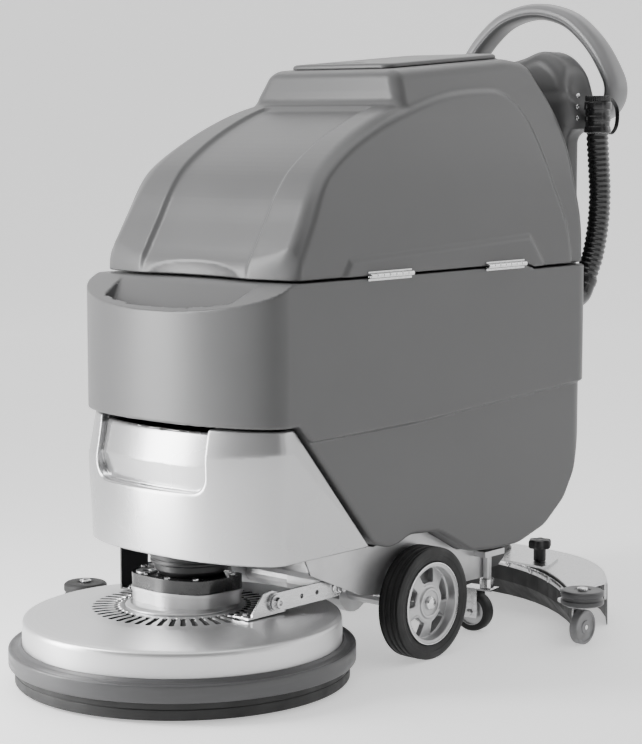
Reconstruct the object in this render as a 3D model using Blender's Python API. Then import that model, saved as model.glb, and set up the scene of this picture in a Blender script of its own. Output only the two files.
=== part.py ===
"""Walk-behind wet dry floor scrubber, modelled as separate sub-parts.

Metres, +Z up. The brush deck is at the front (-Y), the operator's handle at the
rear (+Y). The origin is on the floor, below the middle of the machine.
"""
import math

import bmesh
import bpy
from mathutils import Matrix, Vector

# ---------------------------------------------------------------- driving sizes
LENGTH = 1.276              # brush deck to handle
DECK_RADIUS = 0.280         # bumper ring of the brush deck
DECK_Y = -LENGTH / 2 + DECK_RADIUS
BODY_HALF = 0.218           # half width of the tanks
NOSE_Y = -0.342             # where the rounded nose starts
NOSE_DEPTH = 0.081
REAR_Y = 0.477              # rear wall of the tanks
SEAM_Z = 0.648              # joint between lower and upper tank
WHEEL_R = 0.095
WHEEL_Y = -0.0014
WHEEL_OUT = 0.235           # outer face of a drive wheel
TREAD = 0.045
CASTER_R = 0.0355
CASTER_PIN = (0.186, 0.212)
CASTER_WHEEL = (0.160, 0.208)
SQUEEGEE_HALF = 0.362       # centre line of the end rollers
ROLLER_R = 0.0375
GAP = 0.0003                # clearance between touching pieces
WALL = 0.005                # wall of the moulded tanks
ARM_PIVOT = (-0.165, 0.140)     # (y, z) of the deck arms' rear pivot
ARM_BOLT = (-0.313, 0.140)      # (y, z) of the deck arms' front pivot
TANK_HINGE = (0.2226, 0.6495)   # (x, z) of the recovery tank's hinge pins
LID_HINGE = (0.347, 1.0105)     # (y, z) of the lid's hinge
LIFT_PIVOT = (0.262, 0.118)     # (y, z) of the squeegee arm's pivot
SWING_PIVOT_Y = 0.330           # the squeegee swings about this vertical pin


# ---------------------------------------------------------------- basic tools
def clear_scene():
    for obj in list(bpy.data.objects):
        bpy.data.objects.remove(obj, do_unlink=True)


def finish(name, colour, roughness, metallic=0.0):
    """A Principled material, made once and then shared by name."""
    mat = bpy.data.materials.get(name)
    if mat is None:
        mat = bpy.data.materials.new(name)
        mat.use_nodes = True
        shader = mat.node_tree.nodes["Principled BSDF"]
        shader.inputs["Base Color"].default_value = (*colour, 1.0)
        shader.inputs["Roughness"].default_value = roughness
        shader.inputs["Metallic"].default_value = metallic
        mat.diffuse_color = (*colour, 1.0)
    return mat


def tank_plastic():
    return finish("tank_plastic", (0.16, 0.16, 0.165), 0.4)


def silver_paint():
    return finish("silver_paint", (0.55, 0.55, 0.56), 0.28, 0.6)


def deck_aluminium():
    return finish("deck_aluminium", (0.68, 0.68, 0.69), 0.35, 1.0)


def bumper_grey():
    return finish("bumper_grey", (0.28, 0.28, 0.29), 0.45)


def black_rubber():
    return finish("black_rubber", (0.02, 0.02, 0.02), 0.7)


def black_plastic():
    return finish("black_plastic", (0.025, 0.025, 0.027), 0.4)


def stainless():
    return finish("stainless", (0.72, 0.72, 0.73), 0.25, 1.0)


def frame_steel():
    return finish("frame_steel", (0.06, 0.06, 0.065), 0.5, 0.4)


def cast_aluminium():
    return finish("cast_aluminium", (0.55, 0.55, 0.56), 0.4, 1.0)


def handle_plastic():
    return finish("handle_plastic", (0.5, 0.5, 0.51), 0.4)


def squeegee_grey():
    return finish("squeegee_grey", (0.12, 0.12, 0.125), 0.5)


def bristle_fibre():
    return finish("bristle_fibre", (0.03, 0.03, 0.03), 0.8)


def button_plastic():
    return finish("button_plastic", (0.35, 0.35, 0.36), 0.4)


def place(name, bm, mat, location=(0, 0, 0)):
    """Store a bmesh, built in world coordinates, with its origin at location."""
    bmesh.ops.recalc_face_normals(bm, faces=bm.faces)
    bm.transform(Matrix.Translation(-Vector(location)))
    mesh = bpy.data.meshes.new(name)
    bm.to_mesh(mesh)
    bm.free()
    obj = bpy.data.objects.new(name, mesh)
    obj.location = location
    bpy.context.scene.collection.objects.link(obj)
    mesh.materials.append(mat)
    mesh.shade_smooth()
    mesh.set_sharp_from_angle(angle=math.radians(35))
    return obj


def to_axis(u, v, w, axis):
    """(u, v) across the axis and w along it, as a point in the world."""
    return {"X": (w, u, v), "Y": (u, w, v), "Z": (u, v, w)}[axis]


def loft(name, rings, mat, closed=False, location=(0, 0, 0)):
    """Skin rings with equal numbers of points; cap the ends unless closed."""
    bm = bmesh.new()
    made = [[bm.verts.new(p) for p in ring] for ring in rings]
    pairs = list(zip(made[:-1], made[1:]))
    if closed:
        pairs.append((made[-1], made[0]))
    for low, high in pairs:
        count = len(low)
        for i in range(count):
            j = (i + 1) % count
            bm.faces.new((low[i], low[j], high[j], high[i]))
    if not closed:
        bm.faces.new(made[0])
        bm.faces.new(made[-1])
    return place(name, bm, mat, location)


def prism(name, outline, low, high, axis, mat, location=(0, 0, 0)):
    """Extrude a closed outline of (u, v) points along an axis."""
    rings = [[to_axis(u, v, w, axis) for u, v in outline] for w in (low, high)]
    return loft(name, rings, mat, location=location)


def box(name, low, high, mat, location=(0, 0, 0)):
    outline = [(low[0], low[1]), (high[0], low[1]), (high[0], high[1]), (low[0], high[1])]
    return prism(name, outline, low[2], high[2], "Z", mat, location)


def lathe(name, profile, centre, axis, steps, mat, start=0.0, location=None):
    """Turn a profile of (radius, height) about an axis; radius 0 closes on it.

    A profile with no point on the axis is a closed loop and makes a ring.
    """
    bm = bmesh.new()
    turns = [start + 2 * math.pi * i / steps for i in range(steps)]
    columns = []
    for radius, height in profile:
        points = []
        for turn in turns if radius > 0 else turns[:1]:
            u, v = radius * math.cos(turn), radius * math.sin(turn)
            local = Vector(to_axis(u, v, height, axis))
            points.append(bm.verts.new(Vector(centre) + local))
        columns.append(points)
    pairs = list(zip(columns[:-1], columns[1:]))
    if all(radius > 0 for radius, _ in profile):
        pairs.append((columns[-1], columns[0]))
    for low, high in pairs:
        for i in range(steps):
            j = (i + 1) % steps
            corners = [low[i % len(low)], low[j % len(low)],
                       high[j % len(high)], high[i % len(high)]]
            unique = list(dict.fromkeys(corners))
            if len(unique) > 2:
                bm.faces.new(unique)
    return place(name, bm, mat, location or (0, 0, 0))


def disc(name, radius, low, high, centre, axis, steps, mat, start=0.0, location=None):
    """A plain cylinder from low to high along its axis, measured from centre."""
    profile = [(0, low), (radius, low), (radius, high), (0, high)]
    return lathe(name, profile, centre, axis, steps, mat, start, location)


def tube_between(name, start, end, radius, steps, mat):
    """A plain cylinder between two points."""
    start, end = Vector(start), Vector(end)
    along = (end - start).normalized()
    side = along.orthogonal().normalized()
    up = along.cross(side)
    rings = []
    for centre in (start, end):
        ring = []
        for i in range(steps):
            turn = 2 * math.pi * i / steps
            ring.append(centre + radius * (math.cos(turn) * side + math.sin(turn) * up))
        rings.append(ring)
    return loft(name, rings, mat)


def combine(obj, other, operation, solver="EXACT"):
    """Boolean with another object, which becomes a hidden cutter."""
    other.hide_render = True
    other.display_type = "WIRE"
    modifier = obj.modifiers.new(operation.lower(), "BOOLEAN")
    modifier.operation = operation
    modifier.solver = solver
    modifier.object = other
    return obj


def cut(obj, *others):
    for other in others:
        combine(obj, other, "DIFFERENCE")
    return obj


def fuse(obj, *others):
    for other in others:
        combine(obj, other, "UNION")
    return obj


def keep(obj, other):
    return combine(obj, other, "INTERSECT")


def arc(centre, radius, start, end, steps):
    """Points on an arc in a plane; angles in degrees."""
    points = []
    for i in range(steps + 1):
        turn = math.radians(start + (end - start) * i / steps)
        points.append((centre[0] + radius * math.cos(turn), centre[1] + radius * math.sin(turn)))
    return points


def smooth_path(points, per_span):
    """Points on a Catmull-Rom curve through the given points."""
    given = [Vector(p) for p in points]
    ends = [2 * given[0] - given[1]] + given + [2 * given[-1] - given[-2]]
    path = []
    for i in range(1, len(ends) - 2):
        a, b, c, d = ends[i - 1:i + 3]
        for step in range(per_span):
            t = step / per_span
            path.append(0.5 * ((2 * b) + (c - a) * t + (2 * a - 5 * b + 4 * c - d) * t ** 2
                               + (3 * b - a - 3 * c + d) * t ** 3))
    path.append(given[-1])
    return path


def sweep(name, path, section, up_hint, mat, location=(0, 0, 0)):
    """Carry a section of (side, up) points along a path, square to it."""
    rings = []
    for i, here in enumerate(path):
        before, after = path[max(i - 1, 0)], path[min(i + 1, len(path) - 1)]
        along = (after - before).normalized()
        side = along.cross(Vector(up_hint)).normalized()
        up = side.cross(along)
        rings.append([here + side * u + up * v for u, v in section])
    return loft(name, rings, mat, location=location)


def rounded_section(half_u, half_v, power, steps):
    """A closed superellipse as (u, v) points."""
    points = []
    for i in range(steps):
        turn = 2 * math.pi * (i + 0.5) / steps
        c, s = math.cos(turn), math.sin(turn)
        points.append((half_u * math.copysign(abs(c) ** (2 / power), c),
                       half_v * math.copysign(abs(s) ** (2 / power), s)))
    return points


# ---------------------------------------------------------------- lower tank
def body_plan(half, nose_y, depth, rear, corner, steps=20):
    """Plan of the tanks: half-ellipse nose, straight sides, rounded rear corners."""
    points = []
    for i in range(steps + 1):
        turn = math.pi * i / steps
        points.append((half * math.cos(turn), nose_y - depth * math.sin(turn)))
    points += arc((-half + corner, rear - corner), corner, 180, 90, 4)
    points += arc((half - corner, rear - corner), corner, 90, 0, 4)
    return points


def solution_tank():
    """Rotomoulded lower tank: water chamber in the nose, battery bay behind it."""
    plastic = tank_plastic()
    side = [(REAR_Y + 0.01, SEAM_Z - 0.002), (-0.335, SEAM_Z - 0.002), (-0.345, 0.630),
            (-0.440, 0.596), (-0.440, 0.424), (-0.316, 0.424), (-0.306, 0.414), (-0.1295, 0.2125),
            (-0.093, 0.200), (-0.064, 0.203), (-0.035, 0.214), (0.040, 0.208), (0.080, 0.187),
            (0.130, 0.160), (0.200, 0.154), (0.272, 0.154), (0.350, 0.175), (0.409, 0.216),
            (0.442, 0.266), (0.463, 0.337), (REAR_Y, 0.428), (REAR_Y + 0.01, 0.50)]
    tank = prism("solution_tank", body_plan(BODY_HALF, NOSE_Y, NOSE_DEPTH, REAR_Y, 0.035),
                 0.140, 0.700, "Z", plastic)
    keep(tank, prism("tank_side", side, -0.3, 0.3, "X", plastic))
    bay = [(-0.100, 0.700), (-0.100, 0.240), (0.095, 0.240), (0.100, 0.171), (0.330, 0.171),
           (0.335, 0.300), (0.440, 0.300), (0.468, 0.430), (0.468, 0.700)]
    cut(tank, prism("bay_cut", bay, -0.210, 0.210, "X", plastic))
    water = [(-0.440, 0.431), (-0.298, 0.431), (-0.122, 0.228), (-0.108, 0.228),
             (-0.108, 0.638), (-0.334, 0.638), (-0.338, 0.575), (-0.440, 0.575)]
    chamber = prism("chamber_cut", body_plan(0.211, NOSE_Y, 0.073, 0.0, 0.01), 0.20, 0.65,
                    "Z", plastic)
    cut(tank, keep(chamber, prism("chamber_side", water, -0.3, 0.3, "X", plastic)))
    pocket = [(x, NOSE_Y - 0.062 * math.sqrt(1 - (x / 0.172) ** 2))
              for x in [0.165 * math.cos(math.pi * i / 12) for i in range(13)]]
    pocket += [(-0.165, NOSE_Y), (0.165, NOSE_Y)]
    cut(tank, prism("pocket_cut", pocket, 0.583, 0.700, "Z", plastic))
    cut(tank, disc("fill_cut", 0.020, 0.560, 0.590, (0.0, -0.372, 0), "Z", 16, plastic))
    return tank


def front_cover():
    """Painted shell over the brush motor, with a hand recess in its front."""
    paint = silver_paint()
    low, high = 0.209, 0.4205
    outline = [(-0.45, low), (-0.136, low), (-0.320, high), (-0.45, high)]
    inside = [(-0.45, low - 0.05), (-0.095, low - 0.05), (-0.326, high - 0.004),
              (-0.45, high - 0.004)]
    cover = prism("front_cover", body_plan(BODY_HALF + 0.001, NOSE_Y, 0.083, 0.0, 0.01, 24),
                  0.15, 0.50, "Z", paint)
    keep(cover, prism("cover_side", outline, -0.3, 0.3, "X", paint))
    hollow = prism("cover_hollow", body_plan(BODY_HALF - 0.004, NOSE_Y, 0.077, 0.0, 0.01, 24),
                   0.10, 0.55, "Z", paint)
    keep(hollow, prism("hollow_side", inside, -0.3, 0.3, "X", paint))
    cut(cover, hollow)
    back = box("recess_back", (-0.160, -0.4195, 0.310), (0.112, -0.392, high - 0.001), paint)
    keep(back, prism("recess_trim", body_plan(BODY_HALF - 0.001, NOSE_Y, 0.081, 0.0, 0.01, 24),
                     0.10, 0.55, "Z", paint))
    fuse(cover, back)
    recess = box("recess_cut", (-0.150, -0.50, 0.318), (0.102, -0.396, 0.45), paint)
    cut(cover, recess)
    return cover


def batteries():
    """Two monobloc batteries with raised tops and terminals."""
    places = {"battery_front": (-0.092, 0.2403), "battery_rear": (0.118, 0.1713)}
    for name, (y, z) in places.items():
        body = box(name, (-0.165, y, z), (0.165, y + 0.170, z + 0.205), black_plastic())
        lip = box(name + "_lip", (-0.160, y + 0.005, z + 0.20), (0.160, y + 0.165, z + 0.212),
                  black_plastic())
        fuse(body, lip)
        for x in (-0.135, 0.135):
            post = disc(f"{name}_post_{x}", 0.009, z + 0.205, z + 0.226, (x, y + 0.03, 0), "Z",
                        10, black_plastic())
            fuse(body, post)


def vacuum_motor():
    """Suction turbine in the rear of the bay."""
    profile = [(0, 0.3003), (0.048, 0.3003), (0.048, 0.330), (0.060, 0.334), (0.060, 0.392),
               (0.040, 0.400), (0.034, 0.452), (0, 0.456)]
    lathe("vacuum_motor", profile, (0.090, 0.386, 0), "Z", 20, cast_aluminium())


# ---------------------------------------------------------------- chassis
def chassis_frame():
    """Two side plates, a floor plate and cross tubes, welded."""
    steel = frame_steel()
    outline = [(-0.262, 0.200), (-0.250, 0.175), (-0.127, 0.123), (-0.060, 0.112),
               (-0.045, 0.060), (0.045, 0.060), (0.060, 0.100), (0.215, 0.098), (0.215, 0.1530), (0.200, 0.1530),
               (0.130, 0.1590), (0.080, 0.1860), (0.040, 0.2060), (-0.035, 0.2125),
               (-0.064, 0.2015), (-0.095, 0.1980), (-0.130, 0.2060), (-0.262, 0.2060)]
    frame = prism("chassis_frame", outline, 0.176, 0.180, "X", steel)
    other = prism("chassis_other", outline, -0.180, -0.176, "X", steel)
    for index, side in enumerate((-1, 1)):
        hole = disc(f"axle_hole_{index}", 0.0125, side * 0.170, side * 0.190,
                    (0, WHEEL_Y, WHEEL_R), "X", 20, steel)
        cut(frame if side > 0 else other, hole)
    floor = box("chassis_floor", (-0.178, -0.110, 0.140), (0.178, 0.205, 0.144), steel)
    front_tube = box("chassis_tube", (-0.178, -0.256, 0.180), (0.178, -0.236, 0.200), steel)
    rear_bar = box("chassis_rear", (-0.178, 0.195, 0.118), (0.178, 0.205, 0.142), steel)
    fuse(frame, floor, front_tube, rear_bar, other)
    for side in (-1, 1):
        ends = sorted((side * 0.2055, side * 0.179))
        shelf = box(f"caster_shelf_{side}", (ends[0], 0.180, 0.140), (ends[1], 0.236, 0.150),
                    steel)
        king_pin = disc(f"king_pin_{side}", 0.0075, 0.0965, 0.145,
                        (side * CASTER_PIN[0], CASTER_PIN[1], 0), "Z", 14, steel)
        arm_pin = disc(f"arm_pivot_{side}", 0.0060, side * 0.1545, side * 0.178,
                       (0, *ARM_PIVOT), "X", 12, steel)
        head = disc(f"arm_pivot_head_{side}", 0.011, side * 0.1535, side * 0.1580,
                    (0, *ARM_PIVOT), "X", 12, steel)
        fuse(frame, shelf, king_pin, arm_pin, head)
    return frame


def transaxle():
    """Drive motor and differential between the wheels, with the axle ends."""
    centre = (0, WHEEL_Y, WHEEL_R)
    unit = disc("transaxle", 0.040, -0.060, 0.060, centre, "X", 20, black_plastic())
    motor = disc("transaxle_motor", 0.033, 0.01, 0.165, (0.03, 0, 0.088), "Y", 18,
                 black_plastic())
    tube = disc("transaxle_tube", 0.020, -0.1755, 0.1755, centre, "X", 16, black_plastic())
    shaft = disc("transaxle_shaft", 0.010, -0.222, 0.222, centre, "X", 16, black_plastic())
    fuse(unit, motor, tube, shaft)
    return unit


def drive_wheel(side):
    """Rubber tyre on a cast hub with five recessed windows."""
    name = "right" if side > 0 else "left"
    mid = WHEEL_OUT - TREAD / 2
    centre = (side * mid, WHEEL_Y, WHEEL_R)
    half = TREAD / 2
    outer = [(0.0685, half - 0.002), (0.082, half), (0.091, half - 0.003),
             (WHEEL_R, half - 0.009)]
    outer += [(WHEEL_R, -half + 0.009), (0.091, -half + 0.003), (0.082, -half),
              (0.0685, -half + 0.002)]
    lathe("tyre_" + name, outer, centre, "X", 32, black_rubber(), start=-math.pi / 2,
          location=centre)
    out = 1 if side > 0 else -1
    hub_profile = [(0.0108, -half + 0.004), (0.0680, -half + 0.004), (0.0680, half - 0.002),
                   (0.0645, half - 0.002), (0.0625, 0.004), (0.032, 0.009), (0.030, 0.017),
                   (0.024, 0.017), (0.022, 0.013), (0.0108, 0.013)]
    hub = lathe("hub_" + name, [(r, h * out) for r, h in hub_profile], centre, "X", 24,
                cast_aluminium(), location=centre)
    for i in range(5):
        turn = 2 * math.pi * (i + 0.25) / 5
        wedge = []
        for radius, spread in ((0.034, 0.18), (0.060, 0.30), (0.060, -0.30), (0.034, -0.18)):
            wedge.append((WHEEL_Y + radius * math.cos(turn + spread),
                          WHEEL_R + radius * math.sin(turn + spread)))
        cut(hub, prism(f"window_{name}_{i}", wedge, side * (mid - 0.004), side * 0.26, "X",
                       cast_aluminium()))


def caster(side):
    """Swivel fork under the king pin, with a small wheel turned across the machine."""
    name = "right" if side > 0 else "left"
    pin = (side * CASTER_PIN[0], CASTER_PIN[1], 0)
    wheel = Vector((side * CASTER_WHEEL[0], CASTER_WHEEL[1], CASTER_R))
    arm = Vector((wheel.x - pin[0], wheel.y - pin[1], 0)).normalized()
    axle = Vector((-arm.y, arm.x, 0))
    steel = stainless()

    def slab(label, along, across, low, high):
        corners = []
        for a, b in ((0, 0), (1, 0), (1, 1), (0, 1)):
            spot = Vector(pin) + arm * along[a] + axle * across[b]
            corners.append((spot.x, spot.y))
        return prism(label + name, corners, low, high, "Z", steel)

    fork = slab("caster_fork_", (-0.016, 0.040), (-0.0165, 0.0165), 0.0765, 0.0795)
    fuse(fork, disc(f"fork_boss_{name}", 0.013, 0.078, 0.0962, pin, "Z", 14, steel))
    for label, a, b in (("fork_near_", 0.0134, 0.0160), ("fork_far_", -0.0160, -0.0134)):
        fuse(fork, slab(label, (0.0120, 0.0390), (a, b), 0.026, 0.0780))

    def ring(radius, at):
        points = []
        for i in range(20):
            turn = 2 * math.pi * i / 20 - math.pi / 2
            points.append(wheel + arm * radius * math.cos(turn)
                          + Vector((0, 0, 1)) * radius * math.sin(turn) + axle * at)
        return points

    rings = [ring(0.012, -0.0125), ring(0.031, -0.0125), ring(CASTER_R, -0.009),
             ring(CASTER_R, 0.009), ring(0.031, 0.0125), ring(0.012, 0.0125),
             ring(0.012, 0.0115), ring(0.004, 0.0115), ring(0.004, -0.0115),
             ring(0.012, -0.0115)]
    loft("caster_wheel_" + name, rings, black_rubber(), closed=True, location=wheel)
    fuse(fork, tube_between("caster_axle_" + name, wheel - axle * 0.0150,
                            wheel + axle * 0.0150, 0.0036, 10, steel))


# ---------------------------------------------------------------- brush deck
def deck_housing():
    """Spun aluminium deck with radial vent slots round the gearbox."""
    centre = (0, DECK_Y, 0)
    profile = [(0.030, 0.1215), (0.100, 0.1215), (0.165, 0.1185), (0.249, 0.1070),
               (0.256, 0.1040), (0.2575, 0.098), (0.2575, 0.0600), (0.2535, 0.0600),
               (0.2535, 0.096), (0.247, 0.1015), (0.165, 0.1135), (0.100, 0.1165),
               (0.030, 0.1165)]
    deck = lathe("deck_housing", profile, centre, "Z", 40, deck_aluminium(), location=centre)
    for i in range(12):
        turn = 2 * math.pi * (i + 0.5) / 12
        along = Vector((math.cos(turn), math.sin(turn), 0))
        across = Vector((-along.y, along.x, 0))
        spot = Vector(centre)
        corners = []
        for radius, width in ((0.106, -0.0032), (0.150, -0.0045), (0.150, 0.0045),
                              (0.106, 0.0032)):
            corner = spot + along * radius + across * width
            corners.append((corner.x, corner.y))
        cut(deck, prism(f"slot_{i}", corners, 0.100, 0.130, "Z", deck_aluminium()))
    return deck


def deck_rim():
    """Bumper ring clamped round the deck, and the splash skirt under it."""
    centre = (0, DECK_Y, 0)
    ring = [(0.2578, 0.066), (0.270, 0.064), (0.278, 0.059), (DECK_RADIUS, 0.053),
            (DECK_RADIUS, 0.033), (0.2578, 0.033)]
    rim = lathe("bumper_ring", ring, centre, "Z", 40, bumper_grey(), location=centre)
    fuse(rim, roller_bracket())
    skirt = [(0.2620, 0.0327), (0.2700, 0.0327), (0.2700, 0.004), (0.2620, 0.004)]
    lathe("splash_skirt", skirt, centre, "Z", 40, black_rubber(), location=centre)


def gear_motor():
    """Worm gearbox in two halves, with the brush motor standing on it."""
    outline = [(-0.078, -0.395), (-0.060, -0.416), (0.020, -0.424), (0.078, -0.398),
               (0.090, -0.330), (0.085, -0.300), (-0.085, -0.300), (-0.092, -0.340)]
    inner = [(x * 0.985, DECK_Y + (y - DECK_Y) * 0.985) for x, y in outline]
    lower = prism("gearbox_lower", outline, 0.1268, 0.1518, "Z", cast_aluminium())
    fuse(lower, disc("gearbox_foot", 0.092, 0.1218, 0.128, (0, DECK_Y, 0), "Z", 28,
                     cast_aluminium()))
    cut(lower, disc("gearbox_shaft_hole", 0.0128, 0.10, 0.145, (0, DECK_Y, 0), "Z", 16,
                    cast_aluminium()))
    upper = prism("gearbox_cover", inner, 0.1521, 0.1740, "Z", black_plastic())
    cut(upper, disc("cover_port", 0.017, 0.160, 0.180, (-0.048, -0.392, 0), "Z", 20,
                    black_plastic()))
    motor = [(0, 0.1743), (0.052, 0.1743), (0.058, 0.182), (0.058, 0.192), (0.066, 0.194),
             (0.066, 0.236), (0.060, 0.242), (0, 0.246)]
    lathe("brush_motor", motor, (0.010, -0.348, 0), "Z", 22, black_plastic())


def arm_bolt(side):
    """Shoulder bolt with a wide washer, welded in a bracket to carry a deck arm."""
    name = "right" if side > 0 else "left"
    spot = (0, ARM_BOLT[0], ARM_BOLT[1])
    profile = [(0, 0.1500), (0.0060, 0.1500), (0.0060, 0.1630), (0.0130, 0.1630),
               (0.0130, 0.1650), (0.0080, 0.1655), (0.0080, 0.1725), (0.0045, 0.1725),
               (0.0045, 0.1695), (0, 0.1695)]
    turned = [(r, side * h) for r, h in profile]
    return lathe("arm_bolt_" + name, turned, spot, "X", 14, stainless())


def deck_bracket_right():
    """Folded stainless bracket that takes the arm on the right."""
    steel = stainless()
    base = box("deck_bracket_right", (0.125, -0.373, 0.1207), (0.158, -0.288, 0.1240), steel)
    ear = [(-0.363, 0.1220), (-0.363, 0.128), (-0.338, 0.156), (-0.318, 0.159),
           (-0.292, 0.152), (-0.289, 0.1220)]
    plate = prism("bracket_ear", ear, 0.155, 0.1583, "X", steel)
    fuse(base, plate)
    fuse(base, arm_bolt(1))
    return base


def deck_bracket_left():
    """Tall folded plate that takes the arm on the left."""
    steel = frame_steel()
    base = box("deck_bracket_left", (-0.157, -0.345, 0.1207), (-0.125, -0.285, 0.1240), steel)
    plate = box("bracket_tall", (-0.158, -0.346, 0.1212), (-0.155, -0.284, 0.235), steel)
    fuse(base, plate)
    fuse(base, arm_bolt(-1))
    return base


def lift_arm(side):
    """Flat stainless arm from the chassis to the deck, with a row of holes."""
    name = "right" if side > 0 else "left"
    low, high = sorted((side * 0.1585, side * 0.1625))
    outline = [(ARM_BOLT[0], 0.155)] + arc(ARM_BOLT, 0.015, 90, 270, 8)
    outline += [(ARM_BOLT[0], 0.125)] + arc(ARM_PIVOT, 0.015, -90, 90, 8)
    steel = stainless()
    arm = prism("lift_arm_" + name, list(dict.fromkeys(outline)), low, high, "X", steel)
    for index, (y, radius) in enumerate(((ARM_BOLT[0], 0.0065), (-0.252, 0.004),
                                         (-0.215, 0.004), (ARM_PIVOT[0], 0.0065))):
        hole = disc(f"arm_hole_{name}_{index}", radius, side * 0.15, side * 0.17,
                    (0, y, 0.140), "X", 12, steel)
        cut(arm, hole)
    return arm


SIDE_ROLLER = (-0.297, -0.297, 0)


def roller_bracket():
    """Plate on the bumper ring with the side roller's pin."""
    steel = bumper_grey()
    outline = [(-0.316, -0.282), (-0.314, -0.316), (-0.262, -0.348), (-0.251, -0.290)]
    bracket = prism("roller_bracket", outline, 0.0600, 0.0695, "Z", steel)
    fuse(bracket, disc("roller_pin", 0.006, 0.068, 0.1060, SIDE_ROLLER, "Z", 12, steel))
    fuse(bracket, disc("roller_head", 0.011, 0.1052, 0.1085, SIDE_ROLLER, "Z", 12, steel))
    return bracket


def side_roller():
    """Wall roller of the deck."""
    ring = [(0.0063, 0.0700), (0.033, 0.0700), (0.037, 0.074), (0.037, 0.100), (0.033, 0.1048),
            (0.0063, 0.1048)]
    lathe("side_roller", ring, SIDE_ROLLER, "Z", 20, bumper_grey(), location=SIDE_ROLLER)


def brush():
    """Scrubbing brush: block with its drive shaft, and bristle ring."""
    centre = (0, DECK_Y, 0)
    block = [(0, 0.046), (0.246, 0.046), (0.246, 0.060), (0.200, 0.066), (0.040, 0.066),
             (0.040, 0.0760), (0.0125, 0.0780), (0.0125, 0.1440), (0, 0.1440)]
    lathe("brush_block", block, centre, "Z", 32, black_plastic(), location=centre)
    tuft = [(0.140, 0.0457), (0.244, 0.0457), (0.254, 0.0), (0.130, 0.0)]
    lathe("brush_bristles", tuft, centre, "Z", 32, bristle_fibre(), location=centre)


# ---------------------------------------------------------------- recovery tank
def tank_side_profile(inset):
    """Side view of the upper tank: steep curved front, raised roof, sloped rear."""
    base = SEAM_Z + 0.0015 + inset
    outline = [(-0.338 + inset, base), (-0.336 + inset, 0.662), (-0.290 + inset, 0.735),
               (-0.263 + inset, 0.782), (-0.230 + inset, 0.820), (-0.178 + inset, 0.856 - inset),
               (-0.114 + inset, 0.888 - inset), (-0.044 + inset, 0.914 - inset),
               (-0.012 + inset, 0.920 - inset), (0.002 + inset, 0.968 - inset),
               (0.012 + inset, 0.980 - inset), (0.330, 1.004 - inset),
               (0.385 - inset, 0.998 - inset), (0.412 - inset, 0.965), (0.445 - inset, 0.860),
               (REAR_Y - inset, 0.700), (REAR_Y + 0.0015 - inset, base)]
    return outline


def tank_front_profile(inset):
    """Front view of the upper tank: upright foot, leaning sides, narrow roof."""
    half = [(BODY_HALF - inset, SEAM_Z + 0.0015 + inset), (BODY_HALF - inset, 0.680),
            (0.213 - inset, 0.740), (0.203 - inset, 0.830), (0.188 - inset, 0.900),
            (0.168 - inset, 0.936 - inset), (0.150 - inset, 0.975 - inset),
            (0.138 - inset, 1.010 - inset)]
    return half + [(-x, z) for x, z in reversed(half)]


def recovery_tank():
    """Upper tank shell: side view, front view and plan intersected, then hollowed."""
    plastic = tank_plastic()

    def body(label, inset, low, high):
        shape = prism(label, tank_side_profile(inset), -0.3, 0.3, "X", plastic)
        keep(shape, prism(label + "_front", tank_front_profile(inset), -0.6, 0.6, "Y", plastic))
        plan = body_plan(BODY_HALF - inset, -0.300, 0.045 - inset, REAR_Y - inset, 0.035, 12)
        keep(shape, prism(label + "_plan", plan, low, high, "Z", plastic))
        return shape

    tank = body("recovery_tank", 0.0, 0.5, 1.2)
    cut(tank, body("recovery_hollow", WALL, 0.4, 1.3))
    hatch = [(-0.095, 0.040), (0.095, 0.040), (0.095, 0.315), (-0.095, 0.315)]
    cut(tank, prism("hatch_cut", hatch, 0.93, 1.10, "Z", plastic))
    pin = disc("lid_hinge_pin", 0.0018, -0.078, 0.078, (0, *LID_HINGE), "X", 10, plastic)
    for side in (-1, 1):
        ends = sorted((side * 0.073, side * 0.079))
        fuse(pin, box(f"lid_pin_foot_{side}", (ends[0], 0.342, 1.0000),
                      (ends[1], 0.352, 1.0135), plastic))
    fuse(tank, pin)
    return tank


def float_cage():
    """Ball float shut-off hanging under the roof of the upper tank."""
    spot = (0.060, 0.345, 0)
    profile = [(0, 0.905), (0.022, 0.905), (0.026, 0.912), (0.026, 0.965), (0.033, 0.968),
               (0.033, 0.9925), (0, 0.9925)]
    lathe("float_cage", profile, spot, "Z", 16, black_plastic())


def tank_lid():
    """Inspection lid on the roof, with a grip recess at its front edge."""
    plastic = tank_plastic()

    def roof(y):
        return 0.980 + (y - 0.012) * (1.004 - 0.980) / (0.330 - 0.012)

    front, rear = 0.024, 0.335
    outline = [(front, roof(front) + GAP), (front, roof(front) + 0.0065),
               (front + 0.004, roof(front) + 0.0095), (rear - 0.004, roof(rear) + 0.0095),
               (rear, roof(rear) + 0.0065), (rear, roof(rear) + GAP)]
    lid = prism("tank_lid", outline, -0.112, 0.112, "X", plastic, location=(0, *LID_HINGE))
    rim = [(-0.088, 0.047), (0.088, 0.047), (0.088, 0.308), (-0.088, 0.308)]
    fuse(lid, prism("lid_rim", rim, 0.972, roof(0.05) + 0.004, "Z", plastic))
    cut(lid, prism("lid_grip", [(0.040, 1.2), (0.040, roof(0.04) + 0.004),
                                (0.062, roof(0.06) + 0.004), (0.062, 1.2)],
                   -0.055, 0.055, "X", plastic))
    pivot = (0, *LID_HINGE)
    for side in (-1, 1):
        ends = (side * 0.048, side * 0.072)
        arm = box(f"lid_lug_{side}", (min(ends), 0.325, 1.0068),
                  (max(ends), LID_HINGE[0], 1.0128), plastic)
        fuse(lid, arm, disc(f"lid_knuckle_{side}", 0.0040, *ends, pivot, "X", 12, plastic))
        cut(lid, disc(f"lid_bore_{side}", 0.0022, side * 0.04, side * 0.08, pivot, "X", 10,
                      plastic))
    return lid


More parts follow.
